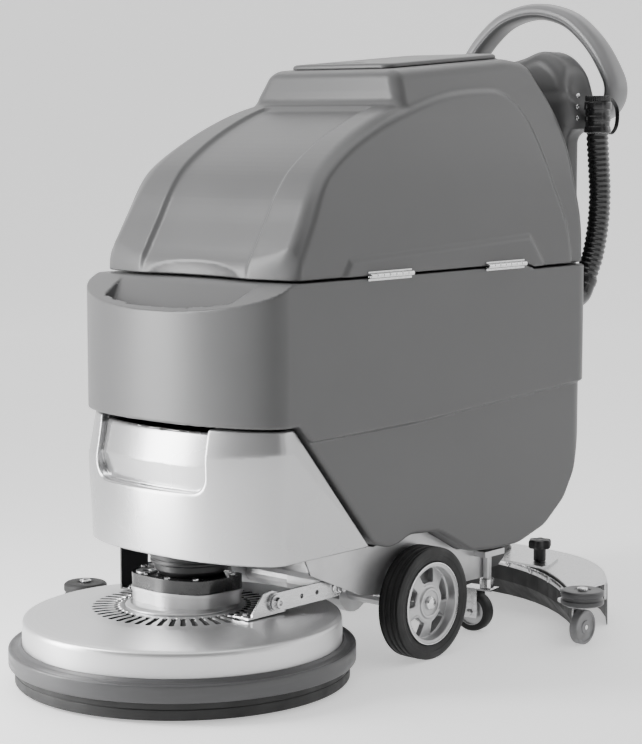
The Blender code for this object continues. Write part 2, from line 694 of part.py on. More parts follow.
def tank_hinge(label, low, high):
    """Piano hinge between the tanks: lower leaf with the pin, and upper leaf."""
    steel = stainless()
    x, z = TANK_HINGE
    lower = box("hinge_base_" + label, (BODY_HALF + GAP, low, z - 0.018),
                (BODY_HALF + 0.0015, high, z - 0.0046), steel)
    pin = disc(f"hinge_pin_{label}", 0.0022, low, high, (x, 0, z), "Y", 10, steel)
    web = box(f"hinge_web_{label}", (BODY_HALF + 2 * GAP, low + 0.0005, z - 0.0060),
              (x + 0.0016, low + 0.0295, z), steel)
    fuse(lower, web, pin)
    upper = box("hinge_leaf_" + label, (BODY_HALF + GAP, low + 0.0305, z - 0.0010),
                (BODY_HALF + 0.0015, high, z + 0.020), steel)
    knuckle = disc(f"hinge_knuckle_{label}", 0.0042, low + 0.0305, high, (x, 0, z), "Y", 12,
                   steel)
    fuse(upper, knuckle)
    cut(upper, disc(f"hinge_bore_{label}", 0.0026, low - 0.01, high + 0.01, (x, 0, z), "Y", 10,
                    steel))


# ---------------------------------------------------------------- operator's end
def rear_column():
    """Moulded column behind the tanks, widening into a console with two shoulders."""
    plastic = tank_plastic()
    shoulder = [(0.0, 0.990), (0.045, 1.008), (0.085, 1.022), (0.115, 1.014), (0.145, 0.985),
                (0.162, 0.950), (0.168, 0.905), (0.168, 0.885), (0.140, 0.870)]
    outline = shoulder + [(-x, z) for x, z in reversed(shoulder[1:])]
    column = prism("rear_column", outline, 0.482, 0.575, "Y", plastic)
    front = REAR_Y + 0.004
    post = box("column_post", (-0.150, front, 0.560), (0.150, 0.538, 0.900), plastic)
    foot = box("column_foot", (-0.140, REAR_Y + GAP, 0.562), (0.140, front + 0.002, 0.640),
               plastic)
    fuse(column, post, foot)
    hollow = box("column_hollow", (-0.145, front + 0.005, 0.550), (0.145, 0.533, 0.900),
                 plastic)
    upper = [(x * 0.94, 0.885 + (z - 0.885) * 0.94) for x, z in outline]
    fuse(hollow, prism("column_hollow_top", upper, 0.488, 0.569, "Y", plastic))
    cut(column, hollow)
    return column


PANEL_FOOT = (0.632, 0.886)     # (y, z) of the sloping panel's lower edge
PANEL_HEAD = (0.600, 0.962)     # (y, z) of its upper edge


def panel_frame():
    """Foot, upward direction and outward normal of the sloping panel, in (y, z)."""
    foot = Vector(PANEL_FOOT)
    up = (Vector(PANEL_HEAD) - foot).normalized()
    return foot, up, Vector((up.y, -up.x))


def on_panel(x, up_by, out_by):
    """A point given by its place on the panel and its height above it."""
    foot, up, out = panel_frame()
    spot = foot + up * up_by + out * out_by
    return Vector((x, spot.x, spot.y))


def panel_block(name, x_range, up_range, out_range, mat, location=(0, 0, 0)):
    """A block squared to the panel."""
    rings = []
    for out_by in out_range:
        corners = ((x_range[0], up_range[0]), (x_range[1], up_range[0]),
                   (x_range[1], up_range[1]), (x_range[0], up_range[1]))
        rings.append([on_panel(x, u, out_by) for x, u in corners])
    return loft(name, rings, mat, location=location)


def panel_round(name, x, up_by, profile, mat, steps=14, location=(0, 0, 0)):
    """A turned piece standing square on the panel; profile of (radius, height)."""
    _, up, _ = panel_frame()
    across = Vector((0, up.x, up.y))
    rings = []
    for radius, out_by in profile:
        centre = on_panel(x, up_by, out_by)
        ring = []
        for i in range(steps):
            turn = 2 * math.pi * i / steps
            ring.append(centre + radius * (math.cos(turn) * Vector((1, 0, 0))
                                           + math.sin(turn) * across))
        rings.append(ring)
    return loft(name, rings, mat, location=location)


def controls():
    """Control box between the handle's ends, with its panel, buttons and key."""
    plastic = tank_plastic()
    outline = [(0.5753, 0.872), (0.616, 0.872), PANEL_FOOT, PANEL_HEAD, (0.5753, 0.966)]
    prism("control_box", outline, -0.0995, 0.0995, "X", plastic)
    panel = panel_block("control_panel", (-0.078, 0.078), (0.006, 0.078), (GAP, 0.004),
                        black_plastic())
    cut(panel, panel_block("display_cut", (-0.050, 0.012), (0.040, 0.070), (0.0025, 0.02),
                           black_plastic()))
    buttons = (("button_brush", -0.045), ("button_suction", -0.012), ("button_water", 0.021))
    for name, x in buttons:
        cut(panel, panel_round(name + "_cut", x, 0.022, [(0.0095, -0.01), (0.0095, 0.02)],
                               black_plastic()))
        panel_round(name, x, 0.022, [(0.0090, 0.0028), (0.0090, 0.0062), (0.0075, 0.0070)],
                    button_plastic(), location=on_panel(x, 0.022, 0.0028))
    key = panel_round("key_switch", 0.050, 0.052,
                      [(0.0100, 0.0043), (0.0100, 0.0075), (0.0075, 0.0085)], stainless(),
                      location=on_panel(0.050, 0.052, 0.0043))
    fuse(key, panel_block("key_blade", (0.0488, 0.0512), (0.044, 0.060), (0.0080, 0.0195),
                          stainless()))


def handle_path():
    """Centre line of the loop handle: an arch with ends curled in to the control box."""
    half = [(0.1003, 0.905), (0.128, 0.9055), (0.158, 0.914), (0.1745, 0.935), (0.1765, 0.960),
            (0.166, 0.986), (0.141, 1.025), (0.111, 1.057), (0.077, 1.082), (0.038, 1.096)]
    points = [(x, 0.610, z) for x, z in half] + [(0, 0.610, 1.1005)]
    points += [(-x, 0.610, z) for x, z in reversed(half)]
    return smooth_path(points, 1)


def handle():
    """Loop handle: a rounded section carried round the loop."""
    section = rounded_section(0.0155, 0.028, 2.6, 12)
    widest = max(v for _, v in section)
    section = [(u, v * 0.028 / widest) for u, v in section]
    sweep("handle_loop", handle_path(), section, (0, -1, 0), handle_plastic())


# ---------------------------------------------------------------- drain hose
HOSE_TOP = (0.194, 0.526, 0.8728)
HOSE_ROUTE = [HOSE_TOP, (0.194, 0.5262, 0.860), (0.194, 0.5318, 0.812), (0.1938, 0.5365, 0.760),
              (0.1918, 0.5350, 0.705), (0.1870, 0.5278, 0.652), (0.1805, 0.5160, 0.6110)]
HOSE_RADIUS = 0.0205


def drain_hose():
    """Drain hose from the outlet elbow up to its capped end, clipped to the console."""
    curve = bpy.data.curves.new("drain_hose", "CURVE")
    curve.dimensions = "3D"
    curve.bevel_depth = HOSE_RADIUS
    curve.bevel_resolution = 4
    curve.use_fill_caps = True
    spline = curve.splines.new("POLY")
    path = smooth_path(HOSE_ROUTE, 2)
    spline.points.add(len(path) - 1)
    for point, spot in zip(spline.points, path):
        point.co = (*spot, 1.0)
    hose = bpy.data.objects.new("drain_hose", curve)
    curve.materials.append(black_plastic())
    bpy.context.scene.collection.objects.link(hose)
    return hose


def hose_fittings():
    """Outlet elbow, end cuff, plug cap and cap strap."""
    black = black_plastic()
    section = rounded_section(0.0225, 0.0225, 2.0, 16)
    path = smooth_path(HOSE_ROUTE, 2)
    along = (path[-1] - path[-2]).normalized()
    elbow = [path[-1] + along * 0.0006, path[-1] + along * 0.0120]
    elbow += [Vector(p) for p in ((0.1765, 0.5060, 0.5850), (0.1750, 0.4970, 0.5770),
                                  (0.1745, 0.4870, 0.5745), (0.1745, 0.4778, 0.5745))]
    sweep("hose_elbow", elbow, section, (1, 0, 0), black)
    x, y, z = HOSE_TOP
    axis = (x, y, 0)
    cuff = [(0, z + 0.0016), (0.0235, z + 0.0016), (0.0250, z + 0.006), (0.0250, 0.925),
            (0.0205, 0.930), (0.0150, 0.930), (0.0150, 0.905), (0, 0.905)]
    lathe("hose_cuff", cuff, axis, "Z", 16, black)
    cap = [(0, 0.912), (0.0140, 0.912), (0.0145, 0.9303), (0.0235, 0.9303), (0.0235, 0.938),
           (0.0215, 0.9405), (0, 0.9405)]
    lathe("hose_cap", cap, axis, "Z", 16, black, location=(x, y, 0.9303))
    loop = [(x, y + 0.0240, 0.9350), (x, y + 0.045, 0.934), (x, y + 0.064, 0.915),
            (x, y + 0.062, 0.886), (x, y + 0.044, 0.871), (x, y + 0.0285, 0.8790)]
    sweep("cap_strap", smooth_path(loop, 3), [(-0.004, -0.0011), (0.004, -0.0011),
                                             (0.004, 0.0011), (-0.004, 0.0011)],
          (1, 0, 0), black)


# ---------------------------------------------------------------- squeegee
STATION = 0.040


def channel_front(x):
    return 0.4525 - 1.72 * x * x


def channel_rear(x):
    return 0.560 - 5.3 * abs(x) ** 3


def blade_foot(x):
    return 0.483 - 1.765 * x * x


def across_machine(half):
    """Stations across the squeegee at one pitch, so that its curved parts nest."""
    inner = [STATION * i for i in range(-8, 9) if STATION * abs(i) < half - 0.002]
    return [-half] + inner + [half]


def squeegee_body():
    """Curved suction channel with its hose spigot and end plates for the rollers."""
    metal = stainless()
    rings = []
    for x in across_machine(0.320):
        f, r = channel_front(x), channel_rear(x)
        section = [(f, 0.040), (f, 0.0805), (r, 0.0805), (r, 0.048), (r - 0.004, 0.048),
                   (r - 0.004, 0.0765), (f + 0.004, 0.0765), (f + 0.004, 0.040)]
        rings.append([(x, y, z) for y, z in section])
    body = loft("squeegee_body", rings, metal)
    for side in (-1, 1):
        plan = [(side * 0.305, 0.262), (side * 0.345, 0.232), (side * 0.372, 0.236),
                (side * 0.372, 0.262), (side * 0.345, 0.300), (side * 0.305, 0.330)]
        fuse(body, prism(f"end_plate_{side}", plan, 0.0642, 0.0692, "Z", metal))
        pin = disc(f"roller_post_{side}", 0.006, 0.066, 0.0975,
                   (side * SQUEEGEE_HALF, 0.249, 0), "Z", 12, metal)
        fuse(body, pin)
        cheek = box(f"wheel_cheek_{side}", (side * 0.3505 - 0.0015, 0.238, 0.024),
                    (side * 0.3505 + 0.0015, 0.262, 0.066), metal)
        axle = disc(f"wheel_axle_{side}", 0.004, side * 0.350, side * 0.3695,
                    (0, 0.252, 0.030), "X", 10, metal)
        fuse(body, cheek, axle)
        stud = disc(f"knob_stud_{side}", 0.0045, 0.079, 0.1075, (side * 0.137, 0.441, 0), "Z",
                    10, metal)
        fuse(body, stud)
    fuse(body, disc("suction_port", 0.0200, 0.078, 0.1150, (0, 0.505, 0), "Z", 20, metal))
    cut(body, disc("suction_bore", 0.0160, 0.070, 0.130, (0, 0.505, 0), "Z", 18, metal))
    return body


def squeegee_blades():
    """Front and rear rubber blades."""
    rubber = squeegee_grey()
    rings = []
    for x in across_machine(0.344):
        f, b = channel_front(x), blade_foot(x)
        section = [(f - 0.0043, 0.0635), (f - GAP, 0.0635), (f - GAP, 0.038), (b + 0.002, 0.0),
                   (b - 0.002, 0.0), (f - 0.0043, 0.036)]
        rings.append([(x, y, z) for y, z in section])
    loft("blade_front", rings, rubber)
    rings = []
    for x in across_machine(0.316):
        r = channel_rear(x)
        section = [(r + GAP, 0.074), (r + 0.0043, 0.074), (r + 0.0063, 0.0),
                   (r + 0.0023, 0.0)]
        rings.append([(x, y, z) for y, z in section])
    loft("blade_rear", rings, rubber)


def squeegee_bridge():
    """Plate over the channel, held by two knobs, with the swing pin's tongue."""
    metal = stainless()
    plan = [(-0.172, 0.400), (-0.110, 0.404), (-0.030, 0.412), (-0.022, 0.318),
            (0.022, 0.318), (0.030, 0.412), (0.110, 0.404), (0.172, 0.400), (0.172, 0.425),
            (0.150, 0.482), (0.120, 0.492), (0.080, 0.476), (-0.080, 0.476), (-0.120, 0.492),
            (-0.150, 0.482), (-0.172, 0.425)]
    bridge = prism("squeegee_bridge", plan, 0.0808, 0.0848, "Z", metal)
    fuse(bridge, disc("swing_pin", 0.0075, 0.082, 0.1040, (0, SWING_PIVOT_Y, 0), "Z", 14,
                      metal))
    for side in (-1, 1):
        cut(bridge, disc(f"bridge_hole_{side}", 0.0055, 0.07, 0.10, (side * 0.137, 0.441, 0),
                         "Z", 12, metal))
    return bridge


def squeegee_arm():
    """Pair of bars from the chassis pivot to the swing pin's eye plate."""
    metal = frame_steel()
    eye = box("squeegee_arm", (-0.036, 0.312, 0.0855), (0.036, 0.348, 0.0905), metal)
    cut(eye, disc("eye_hole", 0.0085, 0.08, 0.10, (0, SWING_PIVOT_Y, 0), "Z", 14, metal))
    bar = [(0.252, 0.110), (0.252, 0.126), (0.272, 0.126), (0.348, 0.102), (0.348, 0.0860),
           (0.310, 0.0860)]
    for side in (-1, 1):
        ends = sorted((side * 0.031, side * 0.036))
        piece = prism(f"lift_bar_{side}", bar, *ends, "X", metal)
        fuse(eye, piece)
        cut(eye, disc(f"bar_hole_{side}", 0.0066, side * 0.02, side * 0.05,
                      (0, *LIFT_PIVOT), "X", 12, metal))
    return eye


def squeegee_bracket():
    """Two hanging plates under the tank with the lift pivot's shaft."""
    metal = stainless()
    plate = [(0.222, 0.1530), (0.222, 0.128), (0.250, 0.104), (0.282, 0.104), (0.300, 0.118),
             (0.342, 0.1640), (0.342, 0.1710), (0.272, 0.1530)]
    bracket = prism("squeegee_bracket", plate, 0.1545, 0.1575, "X", metal)
    shaft = disc("lift_shaft", 0.0060, -0.156, 0.156, (0, *LIFT_PIVOT), "X", 12, metal)
    fuse(bracket, shaft, prism("bracket_other", plate, -0.1575, -0.1545, "X", metal))
    return bracket


def squeegee_trim(side):
    """Star knob, wall roller and support wheel at one end of the squeegee."""
    name = "right" if side > 0 else "left"
    spot = (side * 0.137, 0.441, 0)
    star = []
    for i in range(18):
        turn = 2 * math.pi * i / 18
        radius = 0.0205 + 0.0022 * math.cos(6 * turn)
        star.append((spot[0] + radius * math.cos(turn), spot[1] + radius * math.sin(turn)))
    knob = prism("squeegee_knob_" + name, star, 0.1085, 0.1260, "Z", black_plastic(),
                 location=spot)
    fuse(knob, disc("knob_neck_" + name, 0.0115, 0.0852, 0.110, spot, "Z", 14,
                    black_plastic()))
    cut(knob, disc("knob_bore_" + name, 0.0049, 0.08, 0.1080, spot, "Z", 10,
                   black_plastic()))
    centre = (side * SQUEEGEE_HALF, 0.249, 0)
    ring = [(0.0063, 0.0696), (0.034, 0.0696), (ROLLER_R, 0.073), (ROLLER_R, 0.092),
            (0.034, 0.0955), (0.0063, 0.0955)]
    lathe("end_roller_" + name, ring, centre, "Z", 20, bumper_grey(), location=centre)
    axis = (side * 0.361, 0.252, 0.030)
    wheel = [(0.0043, -0.008), (0.026, -0.008), (0.030, -0.005), (0.030, 0.005),
             (0.026, 0.008), (0.0043, 0.008)]
    lathe("end_wheel_" + name, wheel, axis, "X", 20, squeegee_grey(), start=-math.pi / 2,
          location=axis)


def build():
    clear_scene()
    chassis_frame()
    transaxle()
    solution_tank()
    front_cover()
    batteries()
    vacuum_motor()
    deck_housing()
    deck_rim()
    gear_motor()
    deck_bracket_right()
    deck_bracket_left()
    side_roller()
    brush()
    recovery_tank()
    float_cage()
    tank_lid()
    tank_hinge("front", -0.156, -0.046)
    tank_hinge("rear", 0.157, 0.267)
    rear_column()
    controls()
    handle()
    drain_hose()
    hose_fittings()
    squeegee_bracket()
    squeegee_arm()
    squeegee_bridge()
    squeegee_body()
    squeegee_blades()
    for side in (-1, 1):
        drive_wheel(side)
        caster(side)
        lift_arm(side)
        squeegee_trim(side)


build()
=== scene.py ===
"""Show model of a walk-behind wet dry floor scrubber, laid over its working parts.

Metres, +Z up. The brush deck is at the front (-Y) and the operator's handle at the rear (+Y).
Each moulded, cast, bent or turned piece is made here as a fine surface where its working part
lies, takes its finish from nodes, and moves with the body that it belongs to.
"""
import math

import bpy
import numpy as np
from bpy.props import FloatProperty, FloatVectorProperty, IntProperty, PointerProperty
from mathutils import Matrix, Vector
from mathutils.geometry import tessellate_polygon


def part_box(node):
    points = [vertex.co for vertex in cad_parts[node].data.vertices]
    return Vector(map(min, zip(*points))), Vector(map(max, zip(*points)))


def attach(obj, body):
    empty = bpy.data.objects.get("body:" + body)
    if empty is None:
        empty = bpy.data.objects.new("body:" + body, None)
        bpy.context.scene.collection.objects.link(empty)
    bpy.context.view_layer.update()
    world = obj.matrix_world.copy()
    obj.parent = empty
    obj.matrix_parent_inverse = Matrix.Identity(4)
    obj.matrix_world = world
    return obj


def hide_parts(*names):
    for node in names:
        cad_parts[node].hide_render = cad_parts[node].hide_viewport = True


bl_info = {
    "name": "Floor Scrubber Show Model",
    "version": (1, 0, 0),
    "blender": (4, 5, 0),
    "location": "View3D > Sidebar > Scrubber",
    "description": "Builds the show surfaces of a walk-behind floor scrubber",
    "category": "Object",
}

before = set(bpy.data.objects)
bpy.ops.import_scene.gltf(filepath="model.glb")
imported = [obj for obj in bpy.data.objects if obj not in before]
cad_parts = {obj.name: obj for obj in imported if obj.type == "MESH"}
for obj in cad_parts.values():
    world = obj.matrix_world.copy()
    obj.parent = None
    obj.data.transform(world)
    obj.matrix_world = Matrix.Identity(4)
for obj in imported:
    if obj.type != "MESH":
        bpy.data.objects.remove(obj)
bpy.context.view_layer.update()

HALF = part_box("solution_tank")[1].x             # half width of the tanks
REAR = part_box("solution_tank")[1].y             # rear wall of the tanks
NOSE_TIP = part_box("solution_tank")[0].y
NOSE_START = NOSE_TIP + 0.081                   # the nose is a half ellipse ahead of this
DECK = (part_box("deck_housing")[0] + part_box("deck_housing")[1]) / 2
WHEEL = (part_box("tyre_right")[0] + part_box("tyre_right")[1]) / 2
TYRE_RADIUS = WHEEL.z
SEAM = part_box("recovery_tank")[0].z             # joint between the tanks


# ---------------------------------------------------------------- sizes and colours to change
class ScrubberSizes(bpy.types.PropertyGroup):
    """Sizes of the show surfaces."""

    pitch: FloatProperty(
        name="Moulding Fineness", default=0.0042, min=0.003, max=0.02, unit="LENGTH",
        description="Spacing of the points on the big mouldings")
    slots: IntProperty(
        name="Deck Slots", default=48, min=8, max=96,
        description="Cooling slots round the middle of the brush deck")
    ridge_pitch: FloatProperty(
        name="Hose Ridge Pitch", default=0.0098, min=0.005, max=0.02, unit="LENGTH",
        description="Distance from one ridge of the drain hose to the next")
    tyre_grooves: IntProperty(
        name="Tyre Grooves", default=4, min=0, max=8,
        description="Grooves round the tread of each drive wheel")


class ScrubberColours(bpy.types.PropertyGroup):
    """Base colours of the finishes."""

    tank: FloatVectorProperty(
        name="Tank Plastic", subtype="COLOR", default=(0.085, 0.085, 0.086), min=0, max=1,
        description="Moulded tanks and console")
    silver: FloatVectorProperty(
        name="Front Cover Paint", subtype="COLOR", default=(0.44, 0.44, 0.445), min=0, max=1,
        description="Painted cover over the brush motor")
    ring: FloatVectorProperty(
        name="Bumper Ring", subtype="COLOR", default=(0.055, 0.055, 0.057), min=0, max=1,
        description="Bumper ring, rollers and squeegee trim")
    handle: FloatVectorProperty(
        name="Handle", subtype="COLOR", default=(0.17, 0.17, 0.173), min=0, max=1,
        description="Outer shell of the handle loop")
    black: FloatVectorProperty(
        name="Black Plastic", subtype="COLOR", default=(0.008, 0.008, 0.0085), min=0, max=1,
        description="Hose, knobs and gearbox cover")


def sizes():
    return bpy.context.scene.scrubber_sizes


def colours():
    return bpy.context.scene.scrubber_colours


# ---------------------------------------------------------------- finishes
class Finish:
    """A Principled material whose patterns all read Object coordinates, in metres."""

    def __init__(self, name, colour, roughness, metallic=0.0, **sockets):
        self.mat = bpy.data.materials.new(name)
        self.mat.use_nodes = True
        self.tree = self.mat.node_tree
        self.shader = self.tree.nodes["Principled BSDF"]
        self.colour = tuple(colour)
        self.shader.inputs["Base Color"].default_value = (*self.colour, 1.0)
        self.shader.inputs["Roughness"].default_value = roughness
        self.shader.inputs["Metallic"].default_value = metallic
        for socket, value in sockets.items():
            self.shader.inputs[socket.replace("_", " ")].default_value = value
        self.mat.diffuse_color = (*self.colour, 1.0)
        self.where = self.tree.nodes.new("ShaderNodeTexCoord").outputs["Object"]
        self.normal = None

    def node(self, kind, **values):
        made = self.tree.nodes.new(kind)
        for key, value in values.items():
            setattr(made, key, value)
        return made

    def join(self, source, target):
        self.tree.links.new(source, target)

    def noise(self, scale, detail, stretch=(1, 1, 1)):
        """Cloudy noise, finer along the axes that are stretched more."""
        mapping = self.node("ShaderNodeMapping")
        mapping.inputs["Scale"].default_value = stretch
        noise = self.node("ShaderNodeTexNoise")
        noise.inputs["Scale"].default_value = scale
        noise.inputs["Detail"].default_value = detail
        self.join(self.where, mapping.inputs["Vector"])
        self.join(mapping.outputs["Vector"], noise.inputs["Vector"])
        return noise.outputs["Fac"]

    def polar_noise(self, centre, scale, stretch):
        """Noise that runs in circles about an upright or level axis through centre."""
        mapping = self.node("ShaderNodeMapping")
        mapping.inputs["Location"].default_value = [-c for c in centre]
        length = self.node("ShaderNodeVectorMath", operation="LENGTH")
        noise = self.node("ShaderNodeTexNoise")
        noise.inputs["Scale"].default_value = scale
        noise.inputs["Detail"].default_value = 4.0
        flat = self.node("ShaderNodeVectorMath", operation="MULTIPLY")
        flat.inputs[1].default_value = stretch
        self.join(self.where, mapping.inputs["Vector"])
        self.join(mapping.outputs["Vector"], flat.inputs[0])
        self.join(flat.outputs["Vector"], length.inputs[0])
        self.join(length.outputs["Value"], noise.inputs["Vector"])
        return noise.outputs["Fac"]

    def spread(self, source, low, high, into, start=0.35, end=0.65):
        """Turn a pattern between start and end into a value between low and high."""
        ranger = self.node("ShaderNodeMapRange")
        for key, value in (("From Min", start), ("From Max", end), ("To Min", low),
                           ("To Max", high)):
            ranger.inputs[key].default_value = value
        self.join(source, ranger.inputs["Value"])
        self.join(ranger.outputs["Result"], self.shader.inputs[into])
        return self

    def tint(self, source, other, start=0.35, end=0.65):
        """Run from the base colour to another one with a pattern."""
        ramp = self.node("ShaderNodeValToRGB")
        first, second = ramp.color_ramp.elements
        first.position, second.position = start, end
        first.color, second.color = (*self.colour, 1), (*other, 1)
        self.join(source, ramp.inputs["Fac"])
        self.join(ramp.outputs["Color"], self.shader.inputs["Base Color"])
        return self

    def bump(self, source, strength, distance):
        """Raise the surface with a pattern, on top of any bump before it."""
        bump = self.node("ShaderNodeBump")
        bump.inputs["Strength"].default_value = strength
        bump.inputs["Distance"].default_value = distance
        self.join(source, bump.inputs["Height"])
        if self.normal is not None:
            self.join(self.normal, bump.inputs["Normal"])
        self.normal = bump.outputs["Normal"]
        self.join(self.normal, self.shader.inputs["Normal"])
        return self


def shade(colour, factor):
    """A colour made lighter or darker by a factor, held at white."""
    return tuple(min(1.0, c * factor) for c in colour)


def once(build):
    """Make a finish the first time that it is asked for, and share it after that."""
    def shared():
        name = "show_" + build.__name__
        return bpy.data.materials.get(name) or build(name)
    return shared


@once
def tank_plastic(name):
    """Satin rotomoulded polyethylene: fine orange-peel, faint flow clouds."""
    f = Finish(name, colours().tank, 0.36, Coat_Weight=0.10, Coat_Roughness=0.30,
               Specular_IOR_Level=0.30)
    cloud = f.noise(4.0, 3)
    f.tint(cloud, shade(f.colour, 1.07)).spread(cloud, 0.33, 0.40, "Roughness")
    f.bump(f.noise(900.0, 2), 0.10, 0.0004).bump(f.noise(34.0, 2), 0.05, 0.0015)
    return f.mat


@once
def silver_paint(name):
    """Silver paint with metal flake under a clear coat."""
    f = Finish(name, colours().silver, 0.27, 0.82, Coat_Weight=0.55, Coat_Roughness=0.10)
    flake = f.noise(2600.0, 1)
    f.tint(flake, shade(f.colour, 1.10), 0.45, 0.60)
    f.spread(f.noise(6.0, 3), 0.25, 0.30, "Roughness").bump(flake, 0.035, 0.0002)
    return f.mat


@once
def deck_metal(name):
    """Turned cast aluminium: concentric tool marks about the brush axis."""
    f = Finish(name, (0.70, 0.70, 0.705), 0.34, 0.9)
    rings = f.polar_noise((DECK.x, DECK.y, 0), 620.0, (1, 1, 0))
    f.tint(rings, (0.62, 0.62, 0.625), 0.3, 0.7).spread(rings, 0.30, 0.42, "Roughness", 0.3, 0.7)
    f.bump(rings, 0.12, 0.0003).bump(f.noise(60.0, 4), 0.04, 0.0008)
    return f.mat


@once
def slot_dark(name):
    """Painted shade inside the cooling slots: a near-black finish laid on the slots' floors and
    walls in place of the shadow that falls in them.
    """
    f = Finish(name, (0.012, 0.012, 0.012), 0.8)
    f.spread(f.noise(300.0, 2), 0.7, 0.9, "Roughness")
    return f.mat


@once
def ring_grey(name):
    """Satin grey polyurethane with a light scuff."""
    f = Finish(name, colours().ring, 0.38)
    scuff = f.noise(24.0, 5, (1, 1, 6))
    f.tint(scuff, shade(f.colour, 1.16), 0.45, 0.75).spread(scuff, 0.34, 0.47, "Roughness")
    f.bump(f.noise(1100.0, 2), 0.10, 0.0003)
    return f.mat


@once
def black_rubber(name):
    """Matt black rubber with a dusty bloom."""
    f = Finish(name, (0.006, 0.006, 0.006), 0.5)
    bloom = f.noise(30.0, 5)
    f.tint(bloom, (0.014, 0.014, 0.014), 0.4, 0.8).spread(bloom, 0.5, 0.72, "Roughness")
    f.bump(f.noise(1300.0, 3), 0.25, 0.0003)
    return f.mat


@once
def black_gloss(name):
    """Shiny black moulding with slight flow marks."""
    f = Finish(name, colours().black, 0.22, Coat_Weight=0.3, Coat_Roughness=0.12)
    flow = f.noise(60.0, 4)
    f.spread(flow, 0.18, 0.30, "Roughness").bump(f.noise(700.0, 2), 0.05, 0.0003)
    return f.mat


@once
def black_satin(name):
    """Fine-textured black moulding."""
    f = Finish(name, shade(colours().black, 1.3), 0.42)
    grain = f.noise(1500.0, 2)
    f.spread(f.noise(40.0, 4), 0.38, 0.5, "Roughness").bump(grain, 0.2, 0.0003)
    return f.mat


@once
def black_paint(name):
    """Black powder coat: orange-peel and a few rubbed spots."""
    f = Finish(name, (0.020, 0.020, 0.021), 0.38)
    peel = f.noise(420.0, 2)
    f.tint(f.noise(55.0, 6), (0.060, 0.060, 0.062), 0.62, 0.80).bump(peel, 0.18, 0.0005)
    f.spread(f.noise(12.0, 4), 0.33, 0.45, "Roughness")
    return f.mat


@once
def brushed_steel(name):
    """Stainless sheet, brushed lengthways, with faint handling marks."""
    f = Finish(name, (0.66, 0.66, 0.665), 0.26, 1.0)
    brush = f.noise(55.0, 5, (30, 1, 30))
    f.tint(brush, (0.55, 0.55, 0.555), 0.3, 0.75).spread(brush, 0.22, 0.34, "Roughness")
    f.bump(brush, 0.08, 0.0002).bump(f.noise(26.0, 3), 0.05, 0.0008)
    return f.mat


@once
def polished_steel(name):
    """Bright zinc and stainless fasteners."""
    f = Finish(name, (0.75, 0.75, 0.755), 0.16, 1.0)
    mark = f.noise(140.0, 4)
    f.spread(mark, 0.12, 0.24, "Roughness").tint(mark, (0.66, 0.66, 0.665))
    return f.mat


@once
def cast_metal(name):
    """Fine sand-cast aluminium."""
    f = Finish(name, (0.48, 0.48, 0.485), 0.36, 0.85)
    pit = f.noise(750.0, 4)
    f.tint(f.noise(20.0, 3), (0.56, 0.56, 0.565)).bump(pit, 0.18, 0.0004)
    f.spread(pit, 0.30, 0.44, "Roughness")
    return f.mat


@once
def handle_shell(name):
    """Light grey satin moulding of the handle."""
    f = Finish(name, colours().handle, 0.34, Coat_Weight=0.2, Coat_Roughness=0.25)
    cloud = f.noise(9.0, 3)
    f.tint(cloud, shade(f.colour, 1.06)).bump(f.noise(1200.0, 2), 0.08, 0.0003)
    f.spread(cloud, 0.31, 0.38, "Roughness")
    return f.mat


@once
def handle_grip(name):
    """Darker, slightly softer inner shell of the handle."""
    f = Finish(name, shade(colours().handle, 0.42), 0.36)
    f.spread(f.noise(14.0, 3), 0.33, 0.42, "Roughness").bump(f.noise(1400.0, 2), 0.16, 0.0003)
    return f.mat


@once
def blade_rubber(name):
    """Grey-black blade gum with moulding lines."""
    f = Finish(name, (0.060, 0.060, 0.062), 0.48)
    line = f.noise(90.0, 3, (1, 1, 12))
    f.tint(line, (0.085, 0.085, 0.087)).bump(line, 0.06, 0.0004)
    f.spread(line, 0.42, 0.55, "Roughness")
    return f.mat


@once
def caster_grey(name):
    """Non-marking grey rubber of the small squeegee wheels."""
    f = Finish(name, (0.20, 0.20, 0.205), 0.5)
    wear = f.noise(45.0, 4)
    f.tint(wear, (0.15, 0.15, 0.15), 0.45, 0.75).bump(f.noise(1200.0, 2), 0.2, 0.0003)
    f.spread(wear, 0.45, 0.6, "Roughness")
    return f.mat


@once
def battery_case(name):
    """Dull polypropylene battery case."""
    f = Finish(name, (0.035, 0.035, 0.037), 0.5)
    f.spread(f.noise(20.0, 4), 0.45, 0.6, "Roughness").bump(f.noise(800.0, 2), 0.15, 0.0004)
    return f.mat


@once
def bristle_nylon(name):
    """Packed black bristle tufts: fine upright strands."""
    f = Finish(name, (0.018, 0.018, 0.018), 0.6)
    strand = f.noise(620.0, 3, (1, 1, 0.04))
    f.tint(strand, (0.050, 0.050, 0.050), 0.4, 0.7).bump(strand, 0.8, 0.0015)
    f.spread(strand, 0.5, 0.75, "Roughness")
    return f.mat


@once
def button_grey(name):
    """Soft-touch push buttons."""
    f = Finish(name, (0.30, 0.30, 0.305), 0.5)
    f.spread(f.noise(90.0, 3), 0.45, 0.58, "Roughness").bump(f.noise(1600.0, 2), 0.2, 0.0002)
    return f.mat


@once
def lamp_lens(name):
    """Smoked display window and lamps on the panel."""
    f = Finish(name, (0.012, 0.016, 0.020), 0.08, Coat_Weight=0.6, Coat_Roughness=0.04)
    f.spread(f.noise(30.0, 3), 0.06, 0.12, "Roughness")
    return f.mat


@once
def floor_paper(name):
    """Plain pale studio floor."""
    f = Finish(name, (0.83, 0.83, 0.83), 0.62, Emission_Color=(1, 1, 1, 1),
               Emission_Strength=0.6)
    f.spread(f.noise(3.0, 2), 0.60, 0.66, "Roughness")
    return f.mat


# ---------------------------------------------------------------- distance fields
def soft_max(a, b, radius):
    """The larger of a and b, rounded off within radius of where they meet."""
    near = np.maximum(radius - np.abs(a - b), 0.0) / radius
    return np.maximum(a, b) + near * near * radius * 0.25


